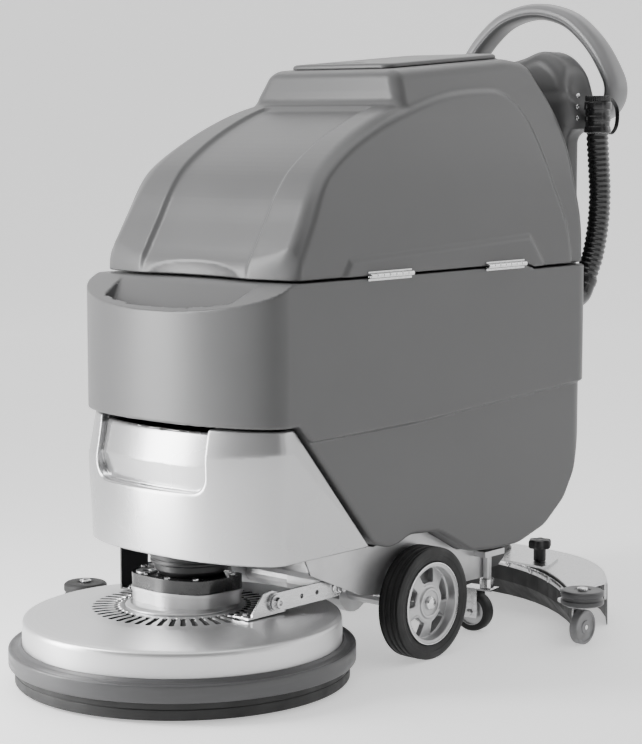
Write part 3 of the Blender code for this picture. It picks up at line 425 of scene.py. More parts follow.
def soft_min(a, b, radius):
    """The smaller of a and b, filled in within radius of where they meet."""
    return -soft_max(-a, -b, radius)


def outline_distance(u, v, points):
    """Distance from (u, v) to a closed outline, negative inside: the least distance to its
    edges, with the sign turned at every edge that the point's level line crosses."""
    u, v = np.broadcast_arrays(u, v)
    best, sign = np.full(u.shape, np.inf), np.ones(u.shape)
    points = np.asarray(points, float)
    for (au, av), (bu, bv) in zip(points, np.roll(points, -1, axis=0)):
        eu, ev, wu, wv = bu - au, bv - av, u - au, v - av
        t = np.clip((wu * eu + wv * ev) / (eu * eu + ev * ev), 0, 1)
        best = np.minimum(best, (wu - eu * t) ** 2 + (wv - ev * t) ** 2)
        above, below, left = v >= av, v < bv, eu * wv > ev * wu
        sign = np.where((above & below & left) | ~(above | below | left), -sign, sign)
    return sign * np.sqrt(best)


def ellipse_distance(u, v, half_u, half_v):
    """About the distance to an ellipse: its level value divided by the slope of that value."""
    level = (u / half_u) ** 2 + (v / half_v) ** 2
    slope = 2 * np.sqrt(u ** 2 / half_u ** 4 + v ** 2 / half_v ** 4 + 1e-12)
    return (level - 1) / np.maximum(slope, 0.5 / max(half_u, half_v))


def curve_through(points, per_span):
    """Smooth curve through points (Catmull-Rom): each span is a cubic whose end slopes are half
    the step between its neighbours. One more point at each end carries on the end's step."""
    p = np.asarray(points, float)
    p = np.vstack([2 * p[0] - p[1], p, 2 * p[-1] - p[-2]])
    t = (np.arange(per_span) / per_span)[None, :, None]
    a, b, c, d = (p[i:len(p) - 3 + i, None, :] for i in range(4))
    out = 0.5 * (2 * b + (c - a) * t + (2 * a - 5 * b + 4 * c - d) * t ** 2
                 + (3 * b - a - 3 * c + d) * t ** 3)
    return np.vstack([out.reshape(-1, p.shape[1]), p[-2]])


def rounded(points, radius, steps=5, closed=True):
    """An outline with each corner turned into a quadratic arc that starts and ends a radius, or
    a little under half an edge, away from it."""
    p = np.asarray(points, float)
    before, after = np.roll(p, 1, axis=0) - p, np.roll(p, -1, axis=0) - p
    la, lb = np.linalg.norm(before, axis=1), np.linalg.norm(after, axis=1)
    reach = np.minimum(np.broadcast_to(radius, la.shape), 0.45 * np.minimum(la, lb))[:, None]
    start, end = p + before / la[:, None] * reach, p + after / lb[:, None] * reach
    t = np.linspace(0, 1, steps)[None, :, None]
    arcs = (start[:, None] * (1 - t) ** 2 + 2 * p[:, None] * t * (1 - t) + end[:, None] * t ** 2)
    if closed:
        return arcs.reshape(-1, p.shape[1])
    return np.vstack([p[0], arcs[1:-1].reshape(-1, p.shape[1]), p[-1]])


# ---------------------------------------------------------------- meshes
def make_piece(name, points, faces, mat, body, replaces=(), slot=None, normals=None,
               smooth_angle=None, mats=(), face_mats=None):
    """One object at the origin from points and groups of faces with equal corner counts."""
    mesh = bpy.data.meshes.new(name)
    corners = np.concatenate([np.asarray(f, np.int32).ravel() for f in faces])
    counts = np.concatenate([np.full(len(f), np.asarray(f).shape[1], np.int32) for f in faces])
    mesh.vertices.add(len(points))
    mesh.vertices.foreach_set("co", np.asarray(points, np.float32).ravel())
    mesh.loops.add(len(corners))
    mesh.loops.foreach_set("vertex_index", corners)
    mesh.polygons.add(len(counts))
    mesh.polygons.foreach_set("loop_start", np.concatenate([[0], np.cumsum(counts)[:-1]]))
    mesh.polygons.foreach_set("loop_total", counts)
    for m in (mat, *mats):
        mesh.materials.append(m)
    if face_mats is not None:
        mesh.polygons.foreach_set("material_index", np.asarray(face_mats, np.int32))
    mesh.update(calc_edges=True)
    mesh.validate()
    mesh.shade_smooth()
    if normals is not None:
        mesh.normals_split_custom_set_from_vertices(np.asarray(normals, np.float32))
    elif smooth_angle is not None:
        mesh.set_sharp_from_angle(angle=math.radians(smooth_angle))
    obj = bpy.data.objects.new(name, mesh)
    bpy.context.scene.collection.objects.link(obj)
    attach(obj, body)
    if replaces:
        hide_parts(*replaces)
    return obj


def strip_faces(rows, columns, wrap_rows, wrap_columns):
    """Quads between neighbouring points of a grid of rows and columns."""
    r = np.arange(rows if wrap_rows else rows - 1)[:, None]
    c = np.arange(columns if wrap_columns else columns - 1)[None, :]
    r2, c2 = (r + 1) % rows, (c + 1) % columns
    return np.stack([r * columns + c, r * columns + c2, r2 * columns + c2, r2 * columns + c],
                    axis=-1).reshape(-1, 4)


def outward(points, faces):
    """Turn the faces round where the closed shape they bound has a negative volume."""
    volume = 0.0
    for f in faces:
        f = np.asarray(f)
        for i in range(1, f.shape[1] - 1):
            a, b, c = points[f[:, 0]], points[f[:, i]], points[f[:, i + 1]]
            volume += float(np.einsum("ij,ij->", a, np.cross(b, c)))
    return faces if volume > 0 else [np.asarray(f)[:, ::-1] for f in faces]


def grid_piece(name, grid, mat, body, wrap_rows=False, angle=35, **more):
    """A closed surface on a grid of points, whose columns go round. Rows that don't go round end
    in flat caps, each a fan about the middle of its row."""
    rows, columns = grid.shape[:2]
    points = grid.reshape(-1, 3)
    faces = [strip_faces(rows, columns, wrap_rows, True)]
    if not wrap_rows:
        ring = np.arange(columns)
        turn = np.roll(ring, -1)
        first, last = len(points), len(points) + 1
        points = np.vstack([points, grid[0].mean(0), grid[-1].mean(0)])
        end = (rows - 1) * columns
        faces.append(np.stack([np.full(columns, first), turn, ring], axis=1))
        faces.append(np.stack([np.full(columns, last), end + ring, end + turn], axis=1))
    return make_piece(name, points, outward(points, faces), mat, body, smooth_angle=angle, **more)


AXES = {"X": (1, 2, 0), "Y": (2, 0, 1), "Z": (0, 1, 2)}


def turned(name, profile, centre, axis, mat, body, steps=96, rounding=0.0, **more):
    """A turned piece: each (radius, height) point of the profile goes round the axis. A profile
    whose ends lie on the axis closes there, and any other joins up into a ring."""
    profile = np.asarray(profile, float)
    solid = profile[0, 0] < 1e-6 and profile[-1, 0] < 1e-6
    if rounding:
        profile = rounded(profile, rounding, 4, closed=not solid)
    if solid:
        profile[[0, -1], 0] = 1e-5
    turn = 2 * np.pi * np.arange(steps) / steps
    u, v, w = AXES[axis]
    grid = np.zeros((len(profile), steps, 3))
    grid[..., u] = profile[:, None, 0] * np.cos(turn) + centre[u]
    grid[..., v] = profile[:, None, 0] * np.sin(turn) + centre[v]
    grid[..., w] = profile[:, None, 1] + centre[w]
    return grid_piece(name, grid, mat, body, wrap_rows=not solid, **more)


def carried(name, path, section, mat, body, up=(0, 0, 1), scale=None, wrap=False, angle=35,
            **more):
    """A section of (side, up) points carried square to a path. Side is the path's direction
    crossed with the up hint, and up is side crossed with the direction."""
    path, section = np.asarray(path, float), np.asarray(section, float)
    if wrap:
        along = np.roll(path, -1, axis=0) - np.roll(path, 1, axis=0)
    else:
        along = np.gradient(path, axis=0)
    along /= np.linalg.norm(along, axis=1)[:, None]
    side = np.cross(along, np.broadcast_to(up, along.shape))
    side /= np.linalg.norm(side, axis=1)[:, None]
    top = np.cross(side, along)
    size = np.ones(len(path)) if scale is None else np.asarray(scale)
    grid = (path[:, None] + side[:, None] * section[None, :, :1] * size[:, None, None]
            + top[:, None] * section[None, :, 1:] * size[:, None, None])
    return grid_piece(name, grid, mat, body, wrap_rows=wrap, angle=angle, **more)


def plate(name, outline, low, high, axis, mat, body, holes=(), edge=0.0008, segments=2, **more):
    """A flat plate: an outline with holes, filled at two levels along an axis and walled between
    them, with its edges eased."""
    loops = [np.asarray(outline, float)] + [np.asarray(h, float) for h in holes]
    flat = np.vstack(loops)
    fill = np.array(tessellate_polygon([[Vector((*p, 0)) for p in loop] for loop in loops]))
    u, v, w = AXES[axis]
    count = len(flat)
    points = np.zeros((2 * count, 3))
    points[:, u], points[:, v] = np.tile(flat[:, 0], 2), np.tile(flat[:, 1], 2)
    points[:count, w], points[count:, w] = low, high
    a, b, c = (flat[fill[:, i]] for i in range(3))
    clockwise = (b[:, 0] - a[:, 0]) * (c[:, 1] - a[:, 1]) < (b[:, 1] - a[:, 1]) * (
        c[:, 0] - a[:, 0])
    fill = np.where(clockwise[:, None], fill[:, ::-1], fill)
    walls, start = [], 0
    for index, loop in enumerate(loops):
        ring = start + np.arange(len(loop))
        turn = np.roll(ring, -1)
        area = np.sum(loop[:, 0] * np.roll(loop[:, 1], -1) - loop[:, 1] * np.roll(loop[:, 0], -1))
        if (area > 0) != (index == 0):
            ring, turn = turn, ring
        walls.append(np.stack([ring, turn, turn + count, ring + count], axis=1))
        start += len(loop)
    obj = make_piece(name, points, [fill[:, ::-1], fill + count, np.vstack(walls)], mat, body,
                     **more)
    if edge:
        bevel = obj.modifiers.new("eased_edges", "BEVEL")
        bevel.width, bevel.segments = edge, segments
        bevel.limit_method, bevel.angle_limit = "ANGLE", math.radians(32)
    obj.data.set_sharp_from_angle(angle=math.radians(32))
    return obj


def circle(u, v, radius, steps=24):
    """Points at even angles round a circle."""
    turn = 2 * np.pi * np.arange(steps) / steps
    return np.stack([u + radius * np.cos(turn), v + radius * np.sin(turn)], axis=1)


def rectangle(low_u, low_v, high_u, high_v, radius=0.0, steps=5):
    """Four corners from low to high, rounded if a radius is given."""
    corners = [(low_u, low_v), (high_u, low_v), (high_u, high_v), (low_u, high_v)]
    return rounded(corners, radius, steps) if radius else np.array(corners)


def moulding(name, field, low, high, mat, body, pitch=None, **more):
    """The skin where a distance field is zero. Space is cut into small boxes. A box that the skin
    passes through gets one point, at the mean of the places where its edges cross the skin, then
    slid down the field's slope until the field is zero. Every crossed edge joins its four boxes
    with a quad, and the field's slope is the shading normal."""
    pitch = pitch or sizes().pitch
    low = np.asarray(low, float)
    counts = np.ceil((np.asarray(high, float) - low) / pitch).astype(int) + 1
    x, y, z = (low[i] + pitch * np.arange(counts[i]) for i in range(3))
    value = np.broadcast_to(field(x[:, None, None], y[None, :, None], z[None, None, :]),
                            counts).astype(np.float32)
    inside = value < 0
    held = sum(inside[i:counts[0] - 1 + i, j:counts[1] - 1 + j, k:counts[2] - 1 + k].astype(np.int8)
               for i in (0, 1) for j in (0, 1) for k in (0, 1))
    cells = np.argwhere((held > 0) & (held < 8))
    corner = np.array([(i, j, k) for i in (0, 1) for j in (0, 1) for k in (0, 1)])
    at = cells[:, None, :] + corner[None]
    values = value[at[..., 0], at[..., 1], at[..., 2]].astype(float)
    total, crossings = np.zeros((len(cells), 3)), np.zeros(len(cells))
    for a in range(8):
        for b in range(a + 1, 8):
            if np.abs(corner[a] - corner[b]).sum() != 1:
                continue
            crossed = (values[:, a] < 0) != (values[:, b] < 0)
            share = np.where(crossed, values[:, a] / (values[:, a] - values[:, b] + 1e-20), 0)
            total += crossed[:, None] * (corner[a] + share[:, None] * (corner[b] - corner[a]))
            crossings += crossed
    points = low + (cells + total / crossings[:, None]) * pitch
    points, normals = settle(field, points, pitch)
    number = np.full(counts - 1, -1, np.int64)
    number[tuple(cells.T)] = np.arange(len(cells))
    quads = []
    for w in range(3):
        u, v = (w + 1) % 3, (w + 2) % 3
        one, two = np.delete(np.arange(3), w), np.eye(3, dtype=int)
        ahead = [slice(None)] * 3
        behind = [slice(None)] * 3
        ahead[w], behind[w] = slice(1, None), slice(None, -1)
        change = inside[tuple(behind)] != inside[tuple(ahead)]
        trim = [slice(None)] * 3
        trim[one[0]] = trim[one[1]] = slice(1, -1)
        edge = np.argwhere(change[tuple(trim)]) + two[u] + two[v]
        square = np.stack([number[tuple((edge - du * two[u] - dv * two[v]).T)]
                           for du, dv in ((1, 1), (0, 1), (0, 0), (1, 0))], axis=1)
        leaving = inside[tuple(edge.T)]
        quads.append(np.where(leaving[:, None], square, square[:, ::-1]))
    return make_piece(name, points, [np.vstack(quads)], mat, body, normals=normals, **more)


def settle(field, points, pitch):
    """Slide points down the field's slope until it is zero there; also give the slope."""
    step = 2e-4
    for _ in range(5):
        slope = np.stack([field(*(points + step * e).T) - field(*(points - step * e).T)
                          for e in np.eye(3)], axis=1) / (2 * step)
        length = np.maximum(np.linalg.norm(slope, axis=1), 1e-6)
        move = np.clip(field(*points.T) / length, -0.4 * pitch, 0.4 * pitch)
        points = points - (slope / length[:, None]) * move[:, None]
    return points, slope / length[:, None]


# ---------------------------------------------------------------- moulded tanks
NOSE_DEPTH = NOSE_START - NOSE_TIP
REAR_CORNER = 0.041                             # reach of the lower tank's rounded rear corners
SCOOP_SLOPE = 0.511                             # fall of the nose's top for each metre forward
ROOF_LOW, ROOF_HIGH = (0.014, 0.9805), (0.330, 1.0045)      # ends of the lid's seat, as (y, z)
RIDGE = ((-0.460, 0.420), (-0.342, 0.420), (-0.291, 0.397), (-0.021, 0.401), (0.480, 0.4285))
COVER_TOP, COVER_FOOT = 0.4205, 0.209
COVER_EDGE = ((-0.320, COVER_TOP), (-0.136, COVER_FOOT))    # sloping rear edge, as (y, z)


def nose_plan(x, y, half, depth):
    """Plan of the tank ahead of its rear wall: a half-ellipse nose that meets straight sides."""
    nose = ellipse_distance(x, np.minimum(y - NOSE_START, 0.0), half, depth)
    return np.where(y < NOSE_START, nose, np.abs(x) - half)


def tank_plan(x, y):
    """Plan of the lower tank: the nose and sides, cut by the rear wall at rounded corners."""
    return soft_max(nose_plan(x, y, HALF, NOSE_DEPTH), y - REAR, REAR_CORNER)


def line_height(y, line):
    """Height of a broken line of (y, z) points above y."""
    spots = np.array(line)
    return np.interp(y, spots[:, 0], spots[:, 1])


def edge_distance(y, z, line):
    """Distance behind a straight line through two (y, z) points, positive towards the rear."""
    (ya, za), (yb, zb) = line
    length = math.hypot(yb - ya, zb - za)
    return ((za - zb) * (y - ya) + (yb - ya) * (z - za)) / length


def lower_side():
    """Side view of the lower tank, with the cover's sloping cut, wheel arch and rear bilge."""
    bilge = [(-0.1295, 0.2125), (-0.093, 0.200), (-0.064, 0.203), (-0.035, 0.214), (0.040, 0.208),
             (0.080, 0.187), (0.130, 0.160), (0.200, 0.154), (0.272, 0.154), (0.350, 0.175),
             (0.409, 0.216), (0.442, 0.266), (0.463, 0.337), (REAR, 0.428)]
    top = [(REAR + 0.001, 0.520), (REAR + 0.001, 0.700), (-0.440, 0.700), (-0.440, 0.424),
           (-0.316, 0.424), (-0.306, 0.414)]
    return rounded(bilge + top, 0.012, 4)


def pocket_field(x, y, z):
    """Fill pocket in the nose: a wedge inside the rim, with upright ends and a sloping back."""
    inside_rim = ellipse_distance(x, y - NOSE_START, HALF - 0.028, NOSE_DEPTH - 0.013)
    back = ((NOSE_START + 0.004) - y - (SEAM - 0.0035 - z) * 0.92) * -0.736
    ends = (np.abs(x) - 0.150 + 0.42 * (0.640 - z)) * 0.92
    hole = soft_max(soft_max(inside_rim, back, 0.004), ends, 0.003)
    return soft_max(hole, 0.583 - z, 0.004)


def lower_tank_field(x, y, z):
    """Lower tank: its plan cut by its side view and by the falling top of the nose. Below the
    ridge line the plan is 4 mm smaller. The pocket is taken out of the nose."""
    plan = tank_plan(x, y)
    side = outline_distance(y, z, lower_side())
    ridge = line_height(y, RIDGE)
    upper = soft_max(plan, (ridge - z) * 0.9, 0.0025)
    body = soft_min(upper, plan + 0.0055, 0.002)
    lid_step = np.interp(y, (0.276, 0.303), (SEAM - 0.0035, SEAM - 0.0115))
    nose_top = (z - (SEAM - 0.0045) - SCOOP_SLOPE * (y - (NOSE_START + 0.007))) * 0.89
    top = soft_max(z - lid_step, nose_top, 0.003)
    body = soft_max(soft_max(body, side, 0.006), top, 0.0022)
    return soft_max(body, -pocket_field(x, y, z), 0.003)


def upper_front():
    """Front view of the upper tank on one side: upright foot and leaning flank, as (x, z)."""
    flank = curve_through([(HALF, 0.560), (HALF, 0.640), (HALF - 0.0005, 0.690),
                           (HALF - 0.005, 0.750), (HALF - 0.0135, 0.825), (HALF - 0.028, 0.893),
                           (HALF - 0.045, 0.937), (HALF - 0.060, 0.970), (HALF - 0.074, 1.010),
                           (HALF - 0.086, 1.050)], 5)
    return np.vstack([flank, [(-0.30, 1.050), (-0.30, 0.560)]])


HOOD = ((-0.3400, 0.590), (-0.3375, 0.655), (-0.3180, 0.692), (-0.2900, 0.737),
        (-0.2630, 0.782), (-0.2300, 0.820), (-0.1780, 0.856), (-0.1140, 0.888),
        (-0.0440, 0.914), (0.0400, 0.932), (0.1600, 0.950))
PANEL = ((-0.330, 0.560), (-0.3210, 0.650), (-0.2960, 0.702), (-0.2690, 0.752),
         (-0.2480, 0.792), (-0.2240, 0.818), (-0.1640, 0.853), (-0.0770, 0.888),
         (0.0200, 0.917), (0.1080, 0.936), (0.2000, 0.945), (0.2720, 0.943),
         (0.3120, 0.916), (0.3420, 0.862), (0.3780, 0.780), (0.4160, 0.690),
         (0.4350, 0.560))
HINGE_RAIL = ((-0.245, 0.560), (-0.213, 0.646), (-0.194, 0.675), (0.290, 0.696),
              (0.332, 0.646), (0.352, 0.560))


def upper_tank_field(x, y, z):
    """Upper tank. The hood and the raised roof box make its side view, which meets the leaning
    flanks in a rounded shoulder. A raised panel and the hinge rail stand on each flank, the hood's
    middle is sunk between two ridges, and a finger scoop is taken out of its foot."""
    across = np.abs(x)
    flank = outline_distance(across, z, upper_front())
    hood = outline_distance(y, z, np.vstack([curve_through(HOOD, 5), [(0.16, 0.59)]]))
    roof_line = rounded([(-0.014, 0.590), (-0.012, 0.925), (0.001, 0.972), ROOF_LOW,
                         ROOF_HIGH, (0.392, 0.998), (0.420, 0.944), (0.447, 0.860),
                         (REAR - 0.002, 0.715), (REAR, 0.640), (REAR, 0.590)], 0.020, 5)
    roof = outline_distance(y, z, roof_line)
    box_end = soft_max(roof, -(y + 0.012 + 0.10 * np.maximum(across - 0.105, 0.0)), 0.004)
    side = soft_min(hood, box_end, 0.012)
    nose = ellipse_distance(x, np.minimum(y + 0.306, 0.0), HALF, 0.033)
    plan = soft_max(np.where(y < -0.306, nose, across - HALF), y - REAR, 0.022)
    core = soft_max(soft_max(side, flank + 0.0115, 0.022), plan + 0.001, 0.012)
    panel = soft_max(flank + 0.0045, outline_distance(y, z, curve_through(PANEL, 4)), 0.010)
    panel = soft_max(panel, soft_max(side + 0.002, plan, 0.010), 0.010)
    rail = soft_max(soft_max(flank, outline_distance(y, z, HINGE_RAIL), 0.009), side, 0.01)
    body = soft_min(soft_min(core, panel, 0.009), rail, 0.006)
    sunk = soft_max(soft_max(across - 0.117, -(hood + 0.0065), 0.008), y + 0.026, 0.012)
    body = soft_max(body, -sunk, 0.006)
    scoop = np.sqrt((x / 0.113) ** 2 + ((y + 0.3415) / 0.024) ** 2 + ((z - 0.648) / 0.043) ** 2)
    body = soft_max(body, (1 - scoop) * 0.022, 0.002)
    floor = np.interp(y, (0.276, 0.303), (SEAM, SEAM - 0.008))
    return soft_max(body, floor - z, 0.003)


def cover_field(x, y, z):
    """Front cover: the nose's plan with a crease all along. Below the crease the face leans in
    towards its foot, and above it, and along the sloping edge, a band leans in more. The recess
    for the hand is cut down from the top, and the hollow back follows the face, with a wall that
    thickens to the sides and upwards."""
    plan = nose_plan(x, y, HALF + 0.001, NOSE_DEPTH + 0.002)
    slope = edge_distance(y, z, COVER_EDGE)
    crease = 0.364 + 0.020 * np.clip(x / HALF, -1, 1)
    face = plan + 0.048 * np.maximum(crease - z, 0)
    band = plan + 0.20 * np.maximum(z - crease, 0)
    edge_band = plan + 0.30 * np.maximum(slope + 0.034, 0)
    skin = soft_max(soft_max(face, band, 0.0015), edge_band, 0.0015)
    foot = COVER_FOOT - z
    body = soft_max(soft_max(skin, slope, 0.006), foot, 0.003)
    body = soft_max(body, z - COVER_TOP, 0.005)
    opening = soft_max(-0.150 - x, x - 0.102, 0.001)
    body = soft_max(body, -soft_max(opening, 0.4120 - z, 0.002), 0.003)
    floor = plan + 0.013 + np.where(z > 0.360, (z - 0.360) * 0.30, (0.360 - z) * 0.22)
    recess = soft_max(soft_max(opening, 0.318 - z, 0.034), -floor, 0.003)
    body = soft_max(body, -recess, 0.007)
    wall = 0.0045 + 0.004 * np.clip(np.abs(x) / 0.12, 0, 1) ** 2
    wall = wall + 0.028 * np.clip((z - 0.285) / 0.030, 0, 1)
    hollow = soft_max(soft_max(face + wall, slope + 0.010, 0.004), z - (COVER_TOP - 0.010), 0.004)
    return soft_max(body, -hollow, 0.002)


# ---------------------------------------------------------------- operator's end
def column_field(x, y, z):
    """Rear column and console: two rounded shoulders with a saddle, dished at the flanks."""
    across = np.abs(x)
    top = curve_through([(0.0, 1.000), (0.045, 1.010), (0.085, 1.022), (0.118, 1.012),
                         (0.146, 0.984), (0.162, 0.945), (0.168, 0.905), (0.163, 0.880)], 5)
    outline = np.vstack([top, [(0.130, 0.868), (-0.05, 0.868), (-0.05, 1.000)]])
    head = soft_max(outline_distance(across, z, outline), np.abs(y - 0.5285) - 0.0465, 0.030)
    dish = np.sqrt((across - 0.178) ** 2 + ((z - 0.960) * 0.8) ** 2 + ((y - 0.520) * 0.9) ** 2)
    head = soft_max(head, 0.034 - dish, 0.020)
    post = soft_max(across - 0.150, np.abs(y - 0.5095) - 0.0285, 0.018)
    post = soft_max(post, soft_max(0.560 - z, z - 0.930, 0.01), 0.012)
    foot = soft_max(across - 0.140, np.abs(y - 0.4935) - 0.0155, 0.004)
    foot = soft_max(foot, soft_max(0.562 - z, z - 0.640, 0.004), 0.004)
    return soft_min(soft_min(head, post, 0.020), foot, 0.006)


PANEL_FOOT, PANEL_HEAD = np.array((0.632, 0.886)), np.array((0.600, 0.962))


def control_box_field(x, y, z):
    """Control box: a wedge whose rear face slopes up towards the machine."""
    outline = rounded([(0.5753, 0.872), (0.616, 0.872), PANEL_FOOT, PANEL_HEAD, (0.5753, 0.966)],
                      0.008, 4)
    return soft_max(outline_distance(y, z, outline), np.abs(x) - 0.0995, 0.012)


def lid_field(x, y, z):
    """Inspection lid: a thin crowned plate on the sloping roof, with a grip recess near its
    front edge and a shallow step all round."""
    rise = (ROOF_HIGH[1] - ROOF_LOW[1]) / (ROOF_HIGH[0] - ROOF_LOW[0])
    level = z - (ROOF_LOW[1] + (y - ROOF_LOW[0]) * rise) - 0.0006
    crown = 0.0088 - 9.0 * np.maximum(np.abs(x) - 0.060, 0) ** 3
    plan = soft_max(np.abs(x) - 0.112, np.abs(y - 0.1795) - 0.1555, 0.022)
    body = soft_max(soft_max(plan, level - crown, 0.006), -level, 0.001)
    grip = soft_max(np.abs(x + 0.020) - 0.048, np.abs(y - 0.060) - 0.011, 0.010)
    grip = soft_max(grip, 0.0040 - level, 0.003)
    return soft_max(body, -grip, 0.003)


# ---------------------------------------------------------------- small repeated parts
def moved(obj, matrix):
    """Carry a piece's mesh, which was made in a handy frame, to its place."""
    obj.data.transform(matrix)
    obj.data.update()
    return obj


def frame_matrix(origin, u, v, w):
    """Matrix from a right-handed frame of directions u, v, w at an origin."""
    return Matrix(((u[0], v[0], w[0], origin[0]), (u[1], v[1], w[1], origin[1]),
                   (u[2], v[2], w[2], origin[2]), (0, 0, 0, 1)))


def bolt(name, centre, axis, sign, radius, height, mat, body, socket=True, hexagon=True):
    """A hex or round head with a chamfered rim and a hex socket: rings of points with six or
    more corners, in and up at the rim, then down into the socket."""
    turn = 2 * np.pi * np.arange(24) / 24
    if hexagon:
        flat = radius / np.maximum.reduce([np.cos(turn - i * np.pi / 3) for i in range(6)])
    else:
        flat = np.full(24, radius)
    inner = 0.50 * radius / np.maximum.reduce([np.cos(turn - i * np.pi / 3) for i in range(6)])
    rows = [(flat, 0.0), (flat, 0.72 * height), (flat * 0.93, 0.95 * height),
            (flat * 0.82, height)]
    if socket:
        rows += [(inner, height), (inner, 0.45 * height)]
    u, v, w = AXES[axis]
    grid = np.zeros((len(rows), 24, 3))
    for row, (reach, level) in zip(grid, rows):
        row[:, u], row[:, v] = reach * np.cos(turn) + centre[u], reach * np.sin(turn) + centre[v]
        row[:, w] = centre[w] + sign * level
    return grid_piece(name, grid, mat, body, angle=25)


def washer(name, centre, axis, sign, inner, outer, height, mat, body):
    """A turned washer with its top rim eased, standing up from centre on the sign's side."""
    profile = [(inner, 0), (outer, 0), (outer, sign * height * 0.7),
               (outer - 0.0006, sign * height), (inner, sign * height)]
    return turned(name, profile, centre, axis, mat, body, steps=40)


def tube(name, route, radius, mat, body, steps, **more):
    """A round tube along a route: a unit circle carried with a radius for each point."""
    return carried(name, route, circle(0, 0, 1, steps), mat, body, up=(1, 0, 0), scale=radius,
                   **more)


def even_steps(route, step):
    """The same curve with its points an even step apart, and each point's length from the start."""
    route = np.asarray(route, float)
    length = np.concatenate([[0], np.cumsum(np.linalg.norm(np.diff(route, axis=0), axis=1))])
    want = np.linspace(0, length[-1], int(length[-1] / step) + 2)
    return np.stack([np.interp(want, length, route[:, i]) for i in range(3)], axis=1), want


def given(node, mat):
    """Give a working part that stays in view its finish."""
    obj = bpy.data.objects[node]
    obj.data.materials.clear()
    obj.data.materials.append(mat)


# ---------------------------------------------------------------- operators
class SCRUBBER_OT_studio(bpy.types.Operator):
    """Camera, pale floor, pale surroundings and soft area lights"""
    bl_idname = "scrubber.studio"
    bl_label = "Studio"

    def execute(self, context):
        forward = Vector((-0.6525, 0.7487, -0.1170)).normalized()
        right = forward.cross(Vector((0, 0, 1))).normalized()
        up = right.cross(forward)
        data = bpy.data.cameras.new("studio_camera")
        data.lens, data.sensor_width = 102.58, 36.0
        camera = bpy.data.objects.new("studio_camera", data)
        camera.matrix_world = frame_matrix((2.3699, -2.7381, 0.8924), right, up, -forward)
        context.scene.collection.objects.link(camera)
        context.scene.camera = camera

        world = bpy.data.worlds.new("pale_room")
        world.use_nodes = True
        nodes, links = world.node_tree.nodes, world.node_tree.links
        glow = nodes["Background"]
        glow.inputs["Color"].default_value = (1, 1, 1, 1)
        look = nodes.new("ShaderNodeTexCoord").outputs["Generated"]
        # Strength is a sum of lobes: each rises smoothly from 0 to its gain as the cosine of the
        # angle to its direction goes from start to end. The first one is full all round.
        total = None
        for towards, start, end, gain in (((0, 0, -1), -1.5, -1.2, 0.20),
                                          ((-0.65, 0.75, 0.0), 0.30, 0.80, 2.2),
                                          ((-0.69, -0.72, 0.05), 0.86, 0.985, 2.0),
                                          ((0.70, 0.71, 0.10), 0.80, 0.97, 1.3),
                                          ((0, 0, 1), 0.40, 0.95, 0.7)):
            along = nodes.new("ShaderNodeVectorMath")
            along.operation = "DOT_PRODUCT"
            along.inputs[1].default_value = Vector(towards).normalized()
            lobe = nodes.new("ShaderNodeMapRange")
            lobe.interpolation_type = "SMOOTHSTEP"
            lobe.inputs["From Min"].default_value = start
            lobe.inputs["From Max"].default_value = end
            lobe.inputs["To Max"].default_value = gain
            links.new(look, along.inputs[0])
            links.new(along.outputs["Value"], lobe.inputs["Value"])
            if total is not None:
                added = nodes.new("ShaderNodeMath")
                links.new(total, added.inputs[0])
                links.new(lobe.outputs["Result"], added.inputs[1])
                total = added.outputs["Value"]
            else:
                total = lobe.outputs["Result"]
        links.new(total, glow.inputs["Strength"])
        context.scene.world = world

        # The floor is a disc that sweeps up into a curved wall on the far side of the camera.
        turn = math.radians(131) + np.radians(np.linspace(-180, 180, 97))
        bend = np.linspace(0, np.pi / 2, 13)
        rise = np.clip(1.6 - np.abs(np.linspace(-180, 180, 97)) / 60, 0, 1)[:, None]
        reach = np.concatenate([[0.0, 2.0, 4.0, 5.5], 5.5 + 2.5 * np.sin(bend[1:]), [8.0]])
        level = np.concatenate([[0, 0, 0, 0], 2.5 * (1 - np.cos(bend[1:])), [6.0]])
        reach = reach + np.where(reach > 7.9, 40.0, 0.0) * (1 - rise) ** 2
        grid = np.stack([reach * np.cos(turn)[:, None], reach * np.sin(turn)[:, None],
                         level * rise], axis=2)
        mesh = bpy.data.meshes.new("studio_floor")
        mesh.from_pydata(grid.reshape(-1, 3).tolist(), [],
                         strip_faces(97, len(level), False, False).tolist())
        mesh.materials.append(floor_paper())
        mesh.shade_smooth()
        floor = bpy.data.objects.new("studio_floor", mesh)
        context.scene.collection.objects.link(floor)

        lamps = (("key_softbox", (-0.76, -1.26, 0.98), (-0.02, -0.42, 0.98), (0.46, 1.95), 58),
                 ("overhead_softbox", (0.1, -0.1, 3.2), (0, 0, 0.5), (2.4, 2.4), 20),
                 ("rear_softbox", (1.6, 3.0, 2.2), (0, 0.1, 0.7), (1.4, 2.0), 8),
                 ("side_strip", (3.4, -0.2, 1.5), (0, 0.0, 0.6), (0.8, 2.4), 5))
        for name, place, target, size, power in lamps:
            light = bpy.data.lights.new(name, "AREA")
            light.shape, light.size, light.size_y, light.energy = "RECTANGLE", *size, power
            lamp = bpy.data.objects.new(name, light)
            aim = (Vector(target) - Vector(place)).to_track_quat("-Z", "Y")
            lamp.matrix_world = Matrix.Translation(place) @ aim.to_matrix().to_4x4()
            context.scene.collection.objects.link(lamp)
        return {"FINISHED"}


